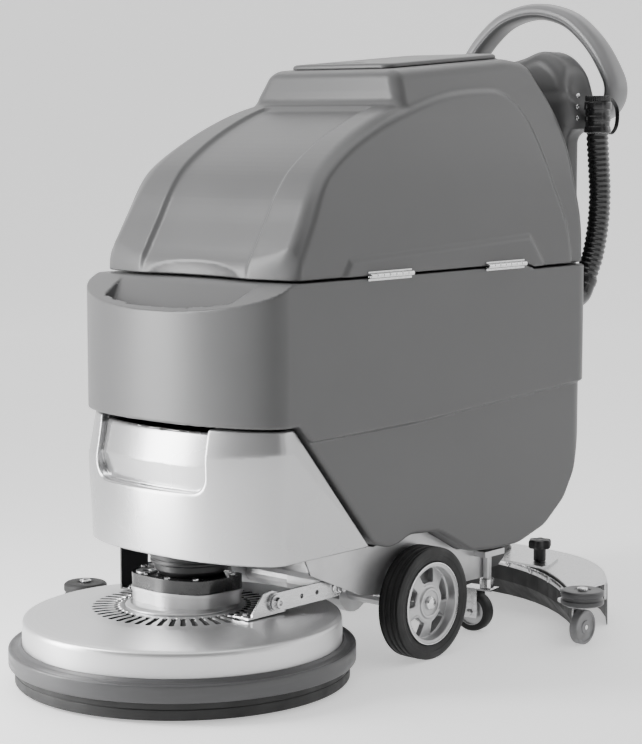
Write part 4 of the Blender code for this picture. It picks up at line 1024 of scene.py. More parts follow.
HOSE_TOP = (0.194, 0.526, 0.8728)
HOSE_ROUTE = (HOSE_TOP, (0.194, 0.5262, 0.860), (0.194, 0.5318, 0.812), (0.1938, 0.5365, 0.760),
              (0.1918, 0.5350, 0.705), (0.1870, 0.5278, 0.652), (0.1805, 0.5160, 0.6110))
HOSE_RADIUS, HOSE_RIDGE, HOSE_DIAMETER = 0.0184, 0.0021, 0.041      # foot, rise, over all
ELBOW_RADIUS = 0.0212
ELBOW_ROUTE = (HOSE_ROUTE[-1], (0.1765, 0.5060, 0.5850), (0.1750, 0.4970, 0.5770),
               (0.1745, 0.4870, 0.5745), (0.1745, 0.4778, 0.5745))


class SCRUBBER_OT_drain_hose(bpy.types.Operator):
    """Drain hose, its elbow and cuff, the drain cap and its strap"""
    bl_idname = "scrubber.drain_hose"
    bl_label = "Drain Hose"

    def execute(self, context):
        black = black_gloss()
        route, along = even_steps(curve_through(HOSE_ROUTE, 12), sizes().ridge_pitch / 10)
        wave = 0.5 + 0.5 * np.cos(2 * np.pi * along / sizes().ridge_pitch)
        hose = tube("drain_hose_ridged", route, HOSE_RADIUS + HOSE_RIDGE * wave ** 0.6, black,
                    "chassis", steps=48, replaces=["drain_hose"], slot="hose_plastic", angle=60)

        route, along = even_steps(curve_through(ELBOW_ROUTE, 10), 0.0012)
        band = np.clip(np.minimum(along, 0.014 - along), 0, 0.001)
        tube("hose_elbow_moulded", route, ELBOW_RADIUS + 1.3 * band, black, "chassis", steps=48,
             replaces=["hose_elbow"], slot="hose_plastic", angle=50)
        x, y, _ = HOSE_TOP
        cuff = [(0.0145, 0.8731), (0.0240, 0.8731), (0.0248, 0.8750), (0.0235, 0.884),
                (0.0222, 0.885), (0.0222, 0.893), (0.0235, 0.894), (0.0235, 0.903),
                (0.0225, 0.904), (0.0225, 0.914), (0.0248, 0.9155), (0.0248, 0.9275),
                (0.0238, 0.9298), (0.0155, 0.9298), (0.0150, 0.928), (0.0150, 0.905),
                (0.0145, 0.904)]
        turned("hose_cuff_banded", cuff, (x, y, 0), "Z", black, "chassis", rounding=0.0006,
               replaces=["hose_cuff"], slot="hose_plastic")

        def cap(px, py, pz):
            """A dished disc with a coin slot and a knurled rim, over a hollow stem."""
            reach = np.hypot(px - x, py - y)
            knurl = 0.0004 * np.cos(36 * np.arctan2(py - y, px - x))
            head = soft_max(reach - 0.0230 + knurl, np.abs(pz - 0.93545) - 0.0049, 0.002)
            dish = soft_max(reach - 0.0165, 0.9385 - pz, 0.001)
            slot = soft_max(np.abs((px - x) * 0.8 + (py - y) * 0.6) - 0.0022, reach - 0.014, 0.001)
            slot = soft_max(slot, 0.9345 - pz, 0.001)
            stem = soft_max(reach - 0.0138, np.abs(pz - 0.922) - 0.0095, 0.002)
            body = soft_max(soft_min(head, stem, 0.002), -dish, 0.001)
            return soft_max(body, -slot, 0.001)

        moulding("drain_cap", cap, (x - 0.026, y - 0.026, 0.910), (x + 0.026, y + 0.026, 0.942),
                 black, "hose_cap", pitch=0.0009, replaces=["hose_cap"], slot="hose_plastic")
        loop = curve_through([(x, y + 0.0225, 0.9350), (x, y + 0.045, 0.9340),
                              (x, y + 0.0635, 0.9150), (x, y + 0.0615, 0.8860),
                              (x, y + 0.0440, 0.8712), (x, y + 0.0287, 0.8790)], 10)
        carried("cap_strap_band", loop, rounded(rectangle(-0.0011, -0.004, 0.0011, 0.004), 0.0006),
                black_satin(), "hose_cap", up=(1, 0, 0), replaces=["cap_strap"],
                slot="hose_plastic")
        return {"FINISHED"}


class SCRUBBER_OT_tanks(bpy.types.Operator):
    """Lower solution tank with its fill pocket, and the tilting upper tank"""
    bl_idname = "scrubber.tanks"
    bl_label = "Tanks"

    def execute(self, context):
        margin = Vector((0.012, 0.012, 0.012))
        for node, field, body in (("solution_tank", lower_tank_field, "chassis"),
                                  ("recovery_tank", upper_tank_field, "recovery_tank")):
            low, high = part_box(node)
            moulding(f"{node}_moulded", field, low - margin, high + margin, tank_plastic(), body,
                     replaces=[node], slot="tank_plastic")
        return {"FINISHED"}


class SCRUBBER_OT_front_cover(bpy.types.Operator):
    """Silver cover over the brush motor, with its hand recess"""
    bl_idname = "scrubber.front_cover"
    bl_label = "Front Cover"

    def execute(self, context):
        low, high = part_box("front_cover")
        margin = Vector((0.010, 0.010, 0.010))
        moulding("front_cover_moulded", cover_field, low - margin, high + margin, silver_paint(),
                 "chassis", pitch=0.0028, replaces=["front_cover"], slot="silver_cover")
        return {"FINISHED"}


class SCRUBBER_OT_tank_lid(bpy.types.Operator):
    """Inspection lid on the upper tank"""
    bl_idname = "scrubber.tank_lid"
    bl_label = "Tank Lid"

    def execute(self, context):
        moulding("tank_lid_moulded", lid_field, (-0.120, 0.016, 0.974), (0.120, 0.343, 1.018),
                 tank_plastic(), "tank_lid", pitch=0.0024, replaces=["tank_lid"],
                 slot="tank_plastic")
        return {"FINISHED"}


HINGE_PIN = (0.2226, 0, 0.6495)
HINGE_SHEET = (0.2183, 0.2197)                  # the two faces of each hinge plate


class SCRUBBER_OT_hinges(bpy.types.Operator):
    """Bright piano hinges between the two tanks"""
    bl_idname = "scrubber.hinges"
    bl_label = "Tank Hinges"

    def execute(self, context):
        steel = polished_steel()
        for place, low, high in (("front", -0.156, -0.046), ("rear", 0.157, 0.267)):
            plate(f"hinge_lower_plate_{place}", rectangle(low, 0.6415, high, 0.6449, 0.001),
                  *HINGE_SHEET, "X", steel, "chassis", edge=0.0003,
                  replaces=[f"hinge_base_{place}"], slot="stainless")
            plate(f"hinge_upper_plate_{place}", rectangle(low, 0.6540, high, 0.6566, 0.001),
                  *HINGE_SHEET, "X", steel, "recovery_tank", edge=0.0003,
                  replaces=[f"hinge_leaf_{place}"], slot="stainless")
            edges = np.linspace(low, high, 8)
            for i, (start, end) in enumerate(zip(edges[:-1], edges[1:])):
                body = "recovery_tank" if i % 2 else "chassis"
                profile = [(0, start + 0.0004), (0.0036, start + 0.0004), (0.0042, start + 0.0010),
                           (0.0042, end - 0.0010), (0.0036, end - 0.0004), (0, end - 0.0004)]
                turned(f"hinge_{place}_knuckle_{i}", profile, HINGE_PIN, "Y", steel,
                       body, steps=32)
        return {"FINISHED"}


PANEL_UP = (PANEL_HEAD - PANEL_FOOT) / np.linalg.norm(PANEL_HEAD - PANEL_FOOT)
BUTTON_ROW, LAMP_COLUMN = 0.022, -0.030         # places on the panel's face
SCREW_PLACE = (0.1668, 0.500)                   # as (x, y), on the right flank of the console
ON_PANEL = frame_matrix((0, *PANEL_FOOT), (-1, 0, 0), (0, *PANEL_UP),
                        (0, PANEL_UP[1], -PANEL_UP[0]))


class SCRUBBER_OT_console(bpy.types.Operator):
    """Rear column, control box and panel with its display, buttons and key switch"""
    bl_idname = "scrubber.console"
    bl_label = "Console"

    def execute(self, context):
        moulding("rear_column_moulded", column_field, (-0.176, 0.470, 0.552),
                 (0.176, 0.584, 1.030), tank_plastic(), "chassis", pitch=0.0036,
                 replaces=["rear_column"], slot="tank_plastic")
        moulding("control_box_moulded", control_box_field, (-0.108, 0.568, 0.864),
                 (0.108, 0.640, 0.974), black_satin(), "chassis", pitch=0.0026,
                 replaces=["control_box"], slot="black_moulding")
        panel = plate("control_panel_face", rectangle(-0.078, 0.006, 0.078, 0.078, 0.008),
                      0.0003, 0.0040, "Z", button_grey(), "chassis",
                      replaces=["control_panel"], slot="black_moulding")
        moved(panel, ON_PANEL)
        screen = plate("control_display", rectangle(-0.012, 0.040, 0.050, 0.070, 0.003), 0.0041,
                       0.0049, "Z", lamp_lens(), "chassis", edge=0.0003)
        moved(screen, ON_PANEL)
        for i, row in enumerate((0.064, 0.056, 0.048)):
            lamp = turned(f"panel_lamp_{i}", [(0, 0.0041), (0.0018, 0.0041), (0.0018, 0.0046),
                                              (0.0012, 0.0052), (0, 0.0054)],
                          (LAMP_COLUMN, row, 0), "Z",
                          lamp_lens(), "chassis", steps=20)
            moved(lamp, ON_PANEL)
        for name, u in (("brush", 0.045), ("suction", 0.012), ("water", -0.021)):
            cap = [(0, 0.0040), (0.0088, 0.0040), (0.0090, 0.0048), (0.0088, 0.0064),
                   (0.0078, 0.0070), (0.0040, 0.0064), (0, 0.0062)]
            knob = turned(f"push_button_{name}", cap, (u, BUTTON_ROW, 0), "Z", button_grey(),
                          f"button_{name}", steps=48, replaces=[f"button_{name}"], slot="button")
            moved(knob, ON_PANEL)
            collar = turned(f"button_collar_{name}",
                            [(0.0093, 0.0041), (0.0112, 0.0041), (0.0108, 0.0050),
                             (0.0096, 0.0052)], (u, BUTTON_ROW, 0), "Z", black_satin(), "chassis",
                            steps=48)
            moved(collar, ON_PANEL)
        given("key_switch", polished_steel())
        for i, level in enumerate((0.940, 0.920, 0.900)):
            bolt(f"console_screw_{i}", (*SCREW_PLACE, level), "X", 1, 0.0048,
                 0.0026, polished_steel(), "chassis", hexagon=False)
        return {"FINISHED"}


HANDLE_ROUTE = ((0.1003, 0.905), (0.128, 0.9055), (0.158, 0.914), (0.1745, 0.935),
                (0.1765, 0.960), (0.166, 0.986), (0.141, 1.025), (0.111, 1.057), (0.077, 1.082),
                (0.038, 1.096), (0.0, 1.1005))


HANDLE_Y, HANDLE_HALF = 0.610, (0.0155, 0.028)  # plane of the loop, and half its section
HANDLE_PART, HANDLE_POWER = -0.0045, 2.6        # where the shells meet, and the section's power


class SCRUBBER_OT_handle(bpy.types.Operator):
    """Handle loop: a light outer shell and a darker inner grip, with a groove between them"""
    bl_idname = "scrubber.handle"
    bl_label = "Handle"

    def execute(self, context):
        half = np.array(HANDLE_ROUTE)
        loop = np.vstack([half, half[-2::-1] * (-1, 1)])
        line = curve_through(loop, 14)
        path = np.stack([line[:, 0], np.full(len(line), HANDLE_Y), line[:, 1]], axis=1)
        turn = 2 * np.pi * np.arange(72) / 72
        power = 2 / HANDLE_POWER
        u = HANDLE_HALF[0] * np.sign(np.cos(turn)) * np.abs(np.cos(turn)) ** power
        v = HANDLE_HALF[1] * np.sign(np.sin(turn)) * np.abs(np.sin(turn)) ** power
        # The section is a superellipse, pinched in a narrow bell where the two shells meet.
        groove = np.exp(-((u - HANDLE_PART) / 0.0008) ** 2)
        pull = 1 - 0.055 * groove
        section = np.stack([u, v * pull], axis=1)
        middle = (u + np.roll(u, -1)) / 2
        inner = np.tile(middle < HANDLE_PART, len(path) - 1).astype(np.int32)
        marks = np.concatenate([inner, np.zeros(2 * len(turn), np.int32)])
        carried("handle_loop_shell", path, section, handle_shell(), "chassis", up=(0, -1, 0),
                mats=[handle_grip()], face_mats=marks, replaces=["handle_loop"], slot="handle",
                angle=45)
        return {"FINISHED"}


SLOT_MIDDLE, SLOT_STRAIGHT = 0.1235, 0.0185     # radius of the slots' middle, half their straight
SLOT_HALF, SLOT_EASE, SLOT_DEPTH = 0.0036, 0.0012, 0.0032
DECK_SHOULDER = 0.2487                          # radius where the deck's top turns down


class SCRUBBER_OT_brush_deck(bpy.types.Operator):
    """Brush deck: slotted aluminium housing, bumper ring, splash skirt and brush"""
    bl_idname = "scrubber.brush_deck"
    bl_label = "Brush Deck"

    def execute(self, context):
        count, per_slot = sizes().slots, 12
        turn = 2 * np.pi * np.arange(count * per_slot) / (count * per_slot)
        top = rounded([(0.030, 0.1215), (0.0985, 0.1215), (0.1465, 0.1191), (0.165, 0.1183),
                       (0.205, 0.1127), (0.249, 0.1068), (0.256, 0.1040), (0.2575, 0.098),
                       (0.2575, 0.060)], 0.0025, 4, closed=False)
        reach = np.unique(np.concatenate([np.linspace(0.030, 0.100, 6), top[:, 0],
                                          np.linspace(0.1005, 0.1465, 58)]))
        shoulder = top[top[:, 0] > DECK_SHOULDER]
        reach = reach[reach < DECK_SHOULDER]
        levels = np.interp(reach, top[:, 0][:-3], top[:, 1][:-3])
        upper = np.vstack([np.stack([reach, levels], axis=1), shoulder])
        under = np.array([(0.2535, 0.060), (0.2535, 0.096), (0.247, 0.1015), (0.165, 0.1135),
                          (0.100, 0.1165), (0.030, 0.1165)])
        profile = np.vstack([upper, under])
        radius, level = profile[:, :1], np.repeat(profile[:, 1:], len(turn), axis=1)
        # Each slot is a round-ended groove along a radius: cut is 1 inside it and 0 outside.
        across = (np.abs((turn * count / (2 * np.pi) + 0.5) % 1 - 0.5) * 2 * np.pi / count
                  * radius)
        end = np.maximum(np.abs(radius - SLOT_MIDDLE) - SLOT_STRAIGHT, 0)
        cut = np.clip((SLOT_HALF - np.hypot(across, end)) / SLOT_EASE + 0.5, 0, 1)
        on_top = (np.arange(len(profile)) < len(upper))[:, None]
        level = level - np.where(on_top, cut * SLOT_DEPTH, 0)
        grid = np.stack([DECK.x + radius * np.cos(turn), DECK.y + radius * np.sin(turn), level],
                        axis=2)
        # Faces in a slot or next to one take the near-black painted-shade finish, which stands in
        # for the shadow inside the slots.
        slot_shade_mask = (cut > 0.5) & on_top
        marks = (slot_shade_mask | np.roll(slot_shade_mask, -1, axis=1) | np.roll(slot_shade_mask, -1, axis=0)).ravel()
        grid_piece("deck_housing_slotted", grid, deck_metal(), "deck", wrap_rows=True, angle=30,
                   mats=[slot_dark()], face_mats=marks.astype(np.int32),
                   replaces=["deck_housing"], slot="deck_aluminium")
        ring = [(0.2578, 0.0655), (0.2605, 0.0655), (0.2640, 0.0608), (0.2700, 0.0592),
                (0.2735, 0.0592), (0.2755, 0.0604), (0.2788, 0.0600), (0.2800, 0.0580),
                (0.2800, 0.0345), (0.2785, 0.0330), (0.2578, 0.0330)]
        turned("bumper_ring_moulded", ring, (DECK.x, DECK.y, 0), "Z", ring_grey(), "deck",
               steps=192, rounding=0.0011, replaces=["bumper_ring"], slot="bumper")
        skirt = [(0.262, 0.0327), (0.2697, 0.0327), (0.2700, 0.030), (0.2700, 0.0225),
                 (0.2688, 0.0215), (0.2700, 0.0205), (0.2700, 0.0060), (0.2680, 0.004),
                 (0.262, 0.004)]
        turned("splash_skirt_moulded", skirt, (DECK.x, DECK.y, 0), "Z", black_rubber(), "deck",
               steps=192, rounding=0.0006, replaces=["splash_skirt"], slot="skirt_rubber")
        given("brush_bristles", bristle_nylon())
        given("brush_block", black_satin())
        return {"FINISHED"}


GEARBOX = ((-0.078, -0.395), (-0.060, -0.416), (0.020, -0.424), (0.078, -0.398),
           (0.090, -0.330), (0.085, -0.300), (-0.085, -0.300), (-0.092, -0.340))


GEARBOX_TOP = 0.1737
MOTOR = (0.010, -0.348, 0)


class SCRUBBER_OT_brush_drive(bpy.types.Operator):
    """Gearbox with its black cover, and the brush motor"""
    bl_idname = "scrubber.brush_drive"
    bl_label = "Brush Drive"

    def execute(self, context):
        outline = np.array(GEARBOX)
        middle = outline.mean(axis=0)
        smooth = rounded(outline, 0.022, 6)
        cast, black = cast_metal(), black_gloss()
        lip = middle + (smooth - middle) * 0.975
        plate("gearbox_lower_casting", lip, 0.1274, 0.1514, "Z", cast, "deck", edge=0.0016,
              replaces=["gearbox_lower"], slot="gearbox_casting", segments=3)
        plate("gearbox_flange_casting", smooth, 0.1452, 0.1516, "Z", cast, "deck", edge=0.0008)
        turned("gearbox_foot_casting", [(0.030, 0.1217), (0.092, 0.1217), (0.092, 0.1245),
                                        (0.084, 0.1282), (0.030, 0.1282)],
               (DECK.x, DECK.y, 0), "Z", cast, "deck", rounding=0.001)
        cover = middle + (smooth - middle) * 0.985
        plate("gearbox_cover_moulded", cover, 0.1521, 0.1738, "Z", black, "deck", edge=0.0060,
              segments=5, replaces=["gearbox_cover"], slot="black_moulding")
        for i, (x, y) in enumerate(((0.062, -0.392), (0.076, -0.322), (-0.074, -0.372),
                                    (-0.030, -0.409), (0.020, -0.413))):
            bolt(f"gearbox_bolt_{i}", (x, y, GEARBOX_TOP), "Z", 1, 0.0042, 0.0034,
                 polished_steel(), "deck")
        port = [(0.0080, 0.1736), (0.0170, 0.1736), (0.0168, 0.1752), (0.0150, 0.1758),
                (0.0100, 0.1758), (0.0085, 0.1748)]
        turned("gearbox_port_ring", port, (-0.048, -0.392, 0), "Z", cast, "deck", steps=48)
        case = [(0, 0.1741), (0.052, 0.1743), (0.058, 0.182), (0.058, 0.192), (0.066, 0.194),
                (0.066, 0.198), (0.0648, 0.1990), (0.0648, 0.2010), (0.066, 0.202),
                (0.066, 0.228), (0.0648, 0.229), (0.0648, 0.231), (0.066, 0.232),
                (0.066, 0.236), (0.060, 0.242), (0.020, 0.2458), (0, 0.246)]
        turned("brush_motor_case", case, MOTOR, "Z", black_satin(), "deck",
               steps=120, rounding=0.0012, replaces=["brush_motor"], slot="motor_casing")
        return {"FINISHED"}


ARM_ENDS, ARM_LEVEL = (-0.313, -0.165), 0.140   # y of an arm's front and rear pivots, and height


class SCRUBBER_OT_lift_arms(bpy.types.Operator):
    """Deck brackets, parallel lift arms and their pivots"""
    bl_idname = "scrubber.lift_arms"
    bl_label = "Lift Arms"

    def execute(self, context):
        steel = polished_steel()
        for side, sign in (("right", 1), ("left", -1)):
            paint = brushed_steel() if sign > 0 else black_paint()
            ends = [circle(y, ARM_LEVEL, 0.015, 48) for y in ARM_ENDS]
            arm = np.vstack([ends[0][12:37], ends[1][36:], ends[1][:13]])
            holes = [circle(y, ARM_LEVEL, radius)
                     for y, radius in ((ARM_ENDS[0], 0.0065), (ARM_ENDS[1], 0.0065),
                                       (-0.252, 0.004), (-0.215, 0.004))]
            low, high = sorted((sign * 0.1585, sign * 0.1625))
            plate(f"lift_arm_{side}_plate", arm, low, high, "X", paint, "lift_arms", holes=holes,
                  edge=0.0005, replaces=[f"lift_arm_{side}"], slot="frame_paint")
            given(f"deck_bracket_{side}", paint)
            for i, y in enumerate(ARM_ENDS):
                body = "deck" if i == 0 else "chassis"
                turned(f"arm_pin_{side}_{i}",
                       [(0, sign * 0.1584), (0.0060, sign * 0.1584), (0.0060, sign * 0.1630),
                        (0, sign * 0.1630)], (0, y, ARM_LEVEL), "X", steel, body, steps=32)
                washer(f"arm_washer_{side}_{i}", (sign * 0.1629, y, ARM_LEVEL), "X", sign, 0.002,
                       0.0125, 0.0020, steel, body)
                bolt(f"arm_bolt_{side}_{i}", (sign * 0.1649, y, ARM_LEVEL), "X", sign, 0.0080,
                     0.0066, steel, body)
        for i, (x, y) in enumerate(((0.142, -0.362), (0.142, -0.300), (-0.141, -0.336),
                                    (-0.141, -0.294))):
            washer(f"bracket_washer_{i}", (x, y, 0.1240), "Z", 1, 0.002, 0.0080, 0.0012, steel,
                   "deck")
            bolt(f"bracket_bolt_{i}", (x, y, 0.1252), "Z", 1, 0.0054, 0.0042, steel, "deck")
        return {"FINISHED"}


SIDE_ROLLER = (-0.297, -0.297)


class SCRUBBER_OT_side_roller(bpy.types.Operator):
    """Wall roller at the side of the deck, on its bracket"""
    bl_idname = "scrubber.side_roller"
    bl_label = "Side Roller"

    def execute(self, context):
        profile = [(0.0064, 0.070), (0.033, 0.070), (0.037, 0.0735), (0.037, 0.0835),
                   (0.0345, 0.0850), (0.0345, 0.0898), (0.037, 0.0913), (0.037, 0.1013),
                   (0.033, 0.1048), (0.014, 0.1048), (0.013, 0.1035), (0.0064, 0.1035)]
        turned("side_roller_wheel", profile, (*SIDE_ROLLER, 0), "Z", black_rubber(),
               "side_roller", rounding=0.0009, replaces=["side_roller"], slot="bumper")
        bolt("side_roller_screw", (*SIDE_ROLLER, 0.1050), "Z", 1, 0.0100, 0.0034,
             polished_steel(), "deck", hexagon=False)
        return {"FINISHED"}


class SCRUBBER_OT_drive_wheels(bpy.types.Operator):
    """Drive wheels: grooved rubber tyres on cast hubs with five windows"""
    bl_idname = "scrubber.drive_wheels"
    bl_label = "Drive Wheels"

    def execute(self, context):
        rubber, cast, steel = black_rubber(), cast_metal(), polished_steel()
        grooves = sizes().tyre_grooves
        for side, sign in (("right", 1), ("left", -1)):
            centre = (sign * WHEEL.x, WHEEL.y, WHEEL.z)
            tread = []
            for i in range(grooves):
                at = -0.0225 + 0.045 * (i + 0.5) / grooves
                tread += [(TYRE_RADIUS, at - 0.0026), (TYRE_RADIUS - 0.0036, at - 0.0016),
                          (TYRE_RADIUS - 0.0036, at + 0.0016), (TYRE_RADIUS, at + 0.0026)]
            wall = [(0.0690, -0.0180), (0.0740, -0.0205), (0.0800, -0.0215), (0.0815, -0.0225),
                    (0.0890, -0.0222), (0.0935, -0.0205)]
            profile = wall + tread + [(r, -h) for r, h in wall[::-1]]
            turned(f"tyre_{side}_tread", profile, centre, "X", rubber, f"wheel_{side}",
                   steps=160, rounding=0.0008, replaces=[f"tyre_{side}"], slot="tyre_rubber")

            def hub(x, y, z, sign=sign, centre=centre):
                """A dished disc in a rim with five windows that narrow to the hub's barrel."""
                h = (x - centre[0]) * sign
                dy, dz = y - centre[1], z - centre[2]
                r = np.hypot(dy, dz)
                rim = soft_max(np.abs(r - 0.0650) - 0.0032, np.abs(h - 0.0010) - 0.0192, 0.001)
                face = 0.0065 - 0.010 * (r - 0.030) / 0.035
                disc = soft_max(np.abs(h - face) - 0.0042, r - 0.0665, 0.001)
                angle = np.arctan2(dz, dy)
                part = ((angle / (2 * np.pi) * 5 - 0.25) + 0.5) % 1 - 0.5
                arc = np.abs(part) * 2 * np.pi / 5 * r
                window = soft_max(arc - (0.41 * r - 0.0015), np.abs(r - 0.0465) - 0.0122, 0.005)
                disc = soft_max(disc, -window, 0.0015)
                frame_lip = soft_max(np.abs(window - 0.0012) - 0.0012, np.abs(h - face) - 0.0058,
                                     0.001)
                barrel = soft_max(r - 0.0255 - 0.12 * (0.017 - h), np.abs(h + 0.001) - 0.0172,
                                  0.002)
                cup = soft_max(r - 0.0205, 0.0128 - h, 0.001)
                shape = soft_min(soft_min(rim, disc, 0.002), soft_min(barrel, frame_lip, 0.002),
                                 0.002)
                shape = soft_max(shape, -cup, 0.001)
                return soft_max(shape, 0.0109 - r, 0.0006)

            low = np.array(centre) - (0.024, 0.071, 0.071)
            high = np.array(centre) + (0.024, 0.071, 0.071)
            moulding(f"hub_{side}_casting", hub, low, high, cast, f"wheel_{side}", pitch=0.0017,
                     replaces=[f"hub_{side}"], slot="wheel_casting")
            ring = [(0.0672, 0.0202), (0.0688, 0.0202), (0.0692, 0.0212), (0.0676, 0.0214)]
            turned(f"wheel_{side}_rim_line", [(r, sign * h) for r, h in ring], centre, "X",
                   steel, f"wheel_{side}", steps=120)
            cap = [(0, 0.0122), (0.0110, 0.0122), (0.0110, 0.0168), (0.0090, 0.0190),
                   (0.0040, 0.0198), (0, 0.0200)]
            turned(f"wheel_{side}_axle_cap", [(r, sign * h) for r, h in cap], centre, "X",
                   steel, f"wheel_{side}", steps=48)
        return {"FINISHED"}


CASTER_PIN, CASTER_HUB, CASTER_LEVEL = (0.186, 0.212), (0.160, 0.208), 0.0355


class SCRUBBER_OT_casters(bpy.types.Operator):
    """Swivel casters under the rear of the chassis"""
    bl_idname = "scrubber.casters"
    bl_label = "Casters"

    def execute(self, context):
        rubber, cast, steel = black_rubber(), cast_metal(), polished_steel()
        for side, sign in (("right", 1), ("left", -1)):
            pin = np.array((sign * CASTER_PIN[0], CASTER_PIN[1]))
            hub = np.array((sign * CASTER_HUB[0], CASTER_HUB[1]))
            arm = (hub - pin) / np.linalg.norm(hub - pin)
            axle = np.array((-arm[1], arm[0]))
            place = frame_matrix((*hub, CASTER_LEVEL), (*arm, 0), (*axle, 0), (0, 0, 1))
            tyre = [(0.0240, -0.0118), (0.0320, -0.0122), (0.0345, -0.0100), (0.0355, -0.0060),
                    (0.0355, 0.0060), (0.0345, 0.0100), (0.0320, 0.0122), (0.0240, 0.0118)]
            moved(turned(f"caster_tyre_{side}", tyre, (0, 0, 0), "Y", rubber,
                         f"caster_wheel_{side}", rounding=0.0008,
                         replaces=[f"caster_wheel_{side}"], slot="caster_rubber"), place)
            core = [(0.0038, -0.0124), (0.0095, -0.0124), (0.0100, -0.0100), (0.0120, -0.0075),
                    (0.0225, -0.0075), (0.0232, -0.0112), (0.0243, -0.0112), (0.0243, 0.0112),
                    (0.0232, 0.0112), (0.0225, 0.0075), (0.0120, 0.0075), (0.0100, 0.0100),
                    (0.0095, 0.0124), (0.0038, 0.0124)]
            moved(turned(f"caster_hub_{side}", core, (0, 0, 0), "Y", cast,
                         f"caster_wheel_{side}"), place)
            given(f"caster_fork_{side}", steel)
            for end in (-1, 1):
                nut = bolt(f"caster_axle_nut_{side}_{'ab'[end > 0]}", (0, end * 0.0161, 0), "Y",
                           end, 0.0052, 0.0040, steel, f"caster_fork_{side}", socket=False)
                moved(nut, place)
        return {"FINISHED"}


SHEET_HALF, SHEET_LOW, SHEET_HIGH = 0.3195, 0.0766, 0.0806
STUD_X, STUD_Y = 0.137, 0.441
PORT = (0, 0.505, 0)
ROLLER_X, ROLLER_Y = 0.362, 0.249
END_WHEEL = (0.361, 0.252, 0.030)


def channel(x, front):
    """Front or rear edge of the squeegee's top, as y at x: a parabola at the front, and a cubic
    that bends more towards its ends at the rear."""
    return 0.4525 - 1.72 * x ** 2 if front else 0.560 - 5.3 * np.abs(x) ** 3


def bow(name, half_width, middle, section, mat, body, steps=96, **more):
    """A section of (outward, z) points carried along the middle line y = middle(x)."""
    x = np.linspace(-half_width, half_width, steps)
    path = np.stack([x, middle(x), np.zeros(steps)], axis=1)
    return carried(name, path, section, mat, body, **more)


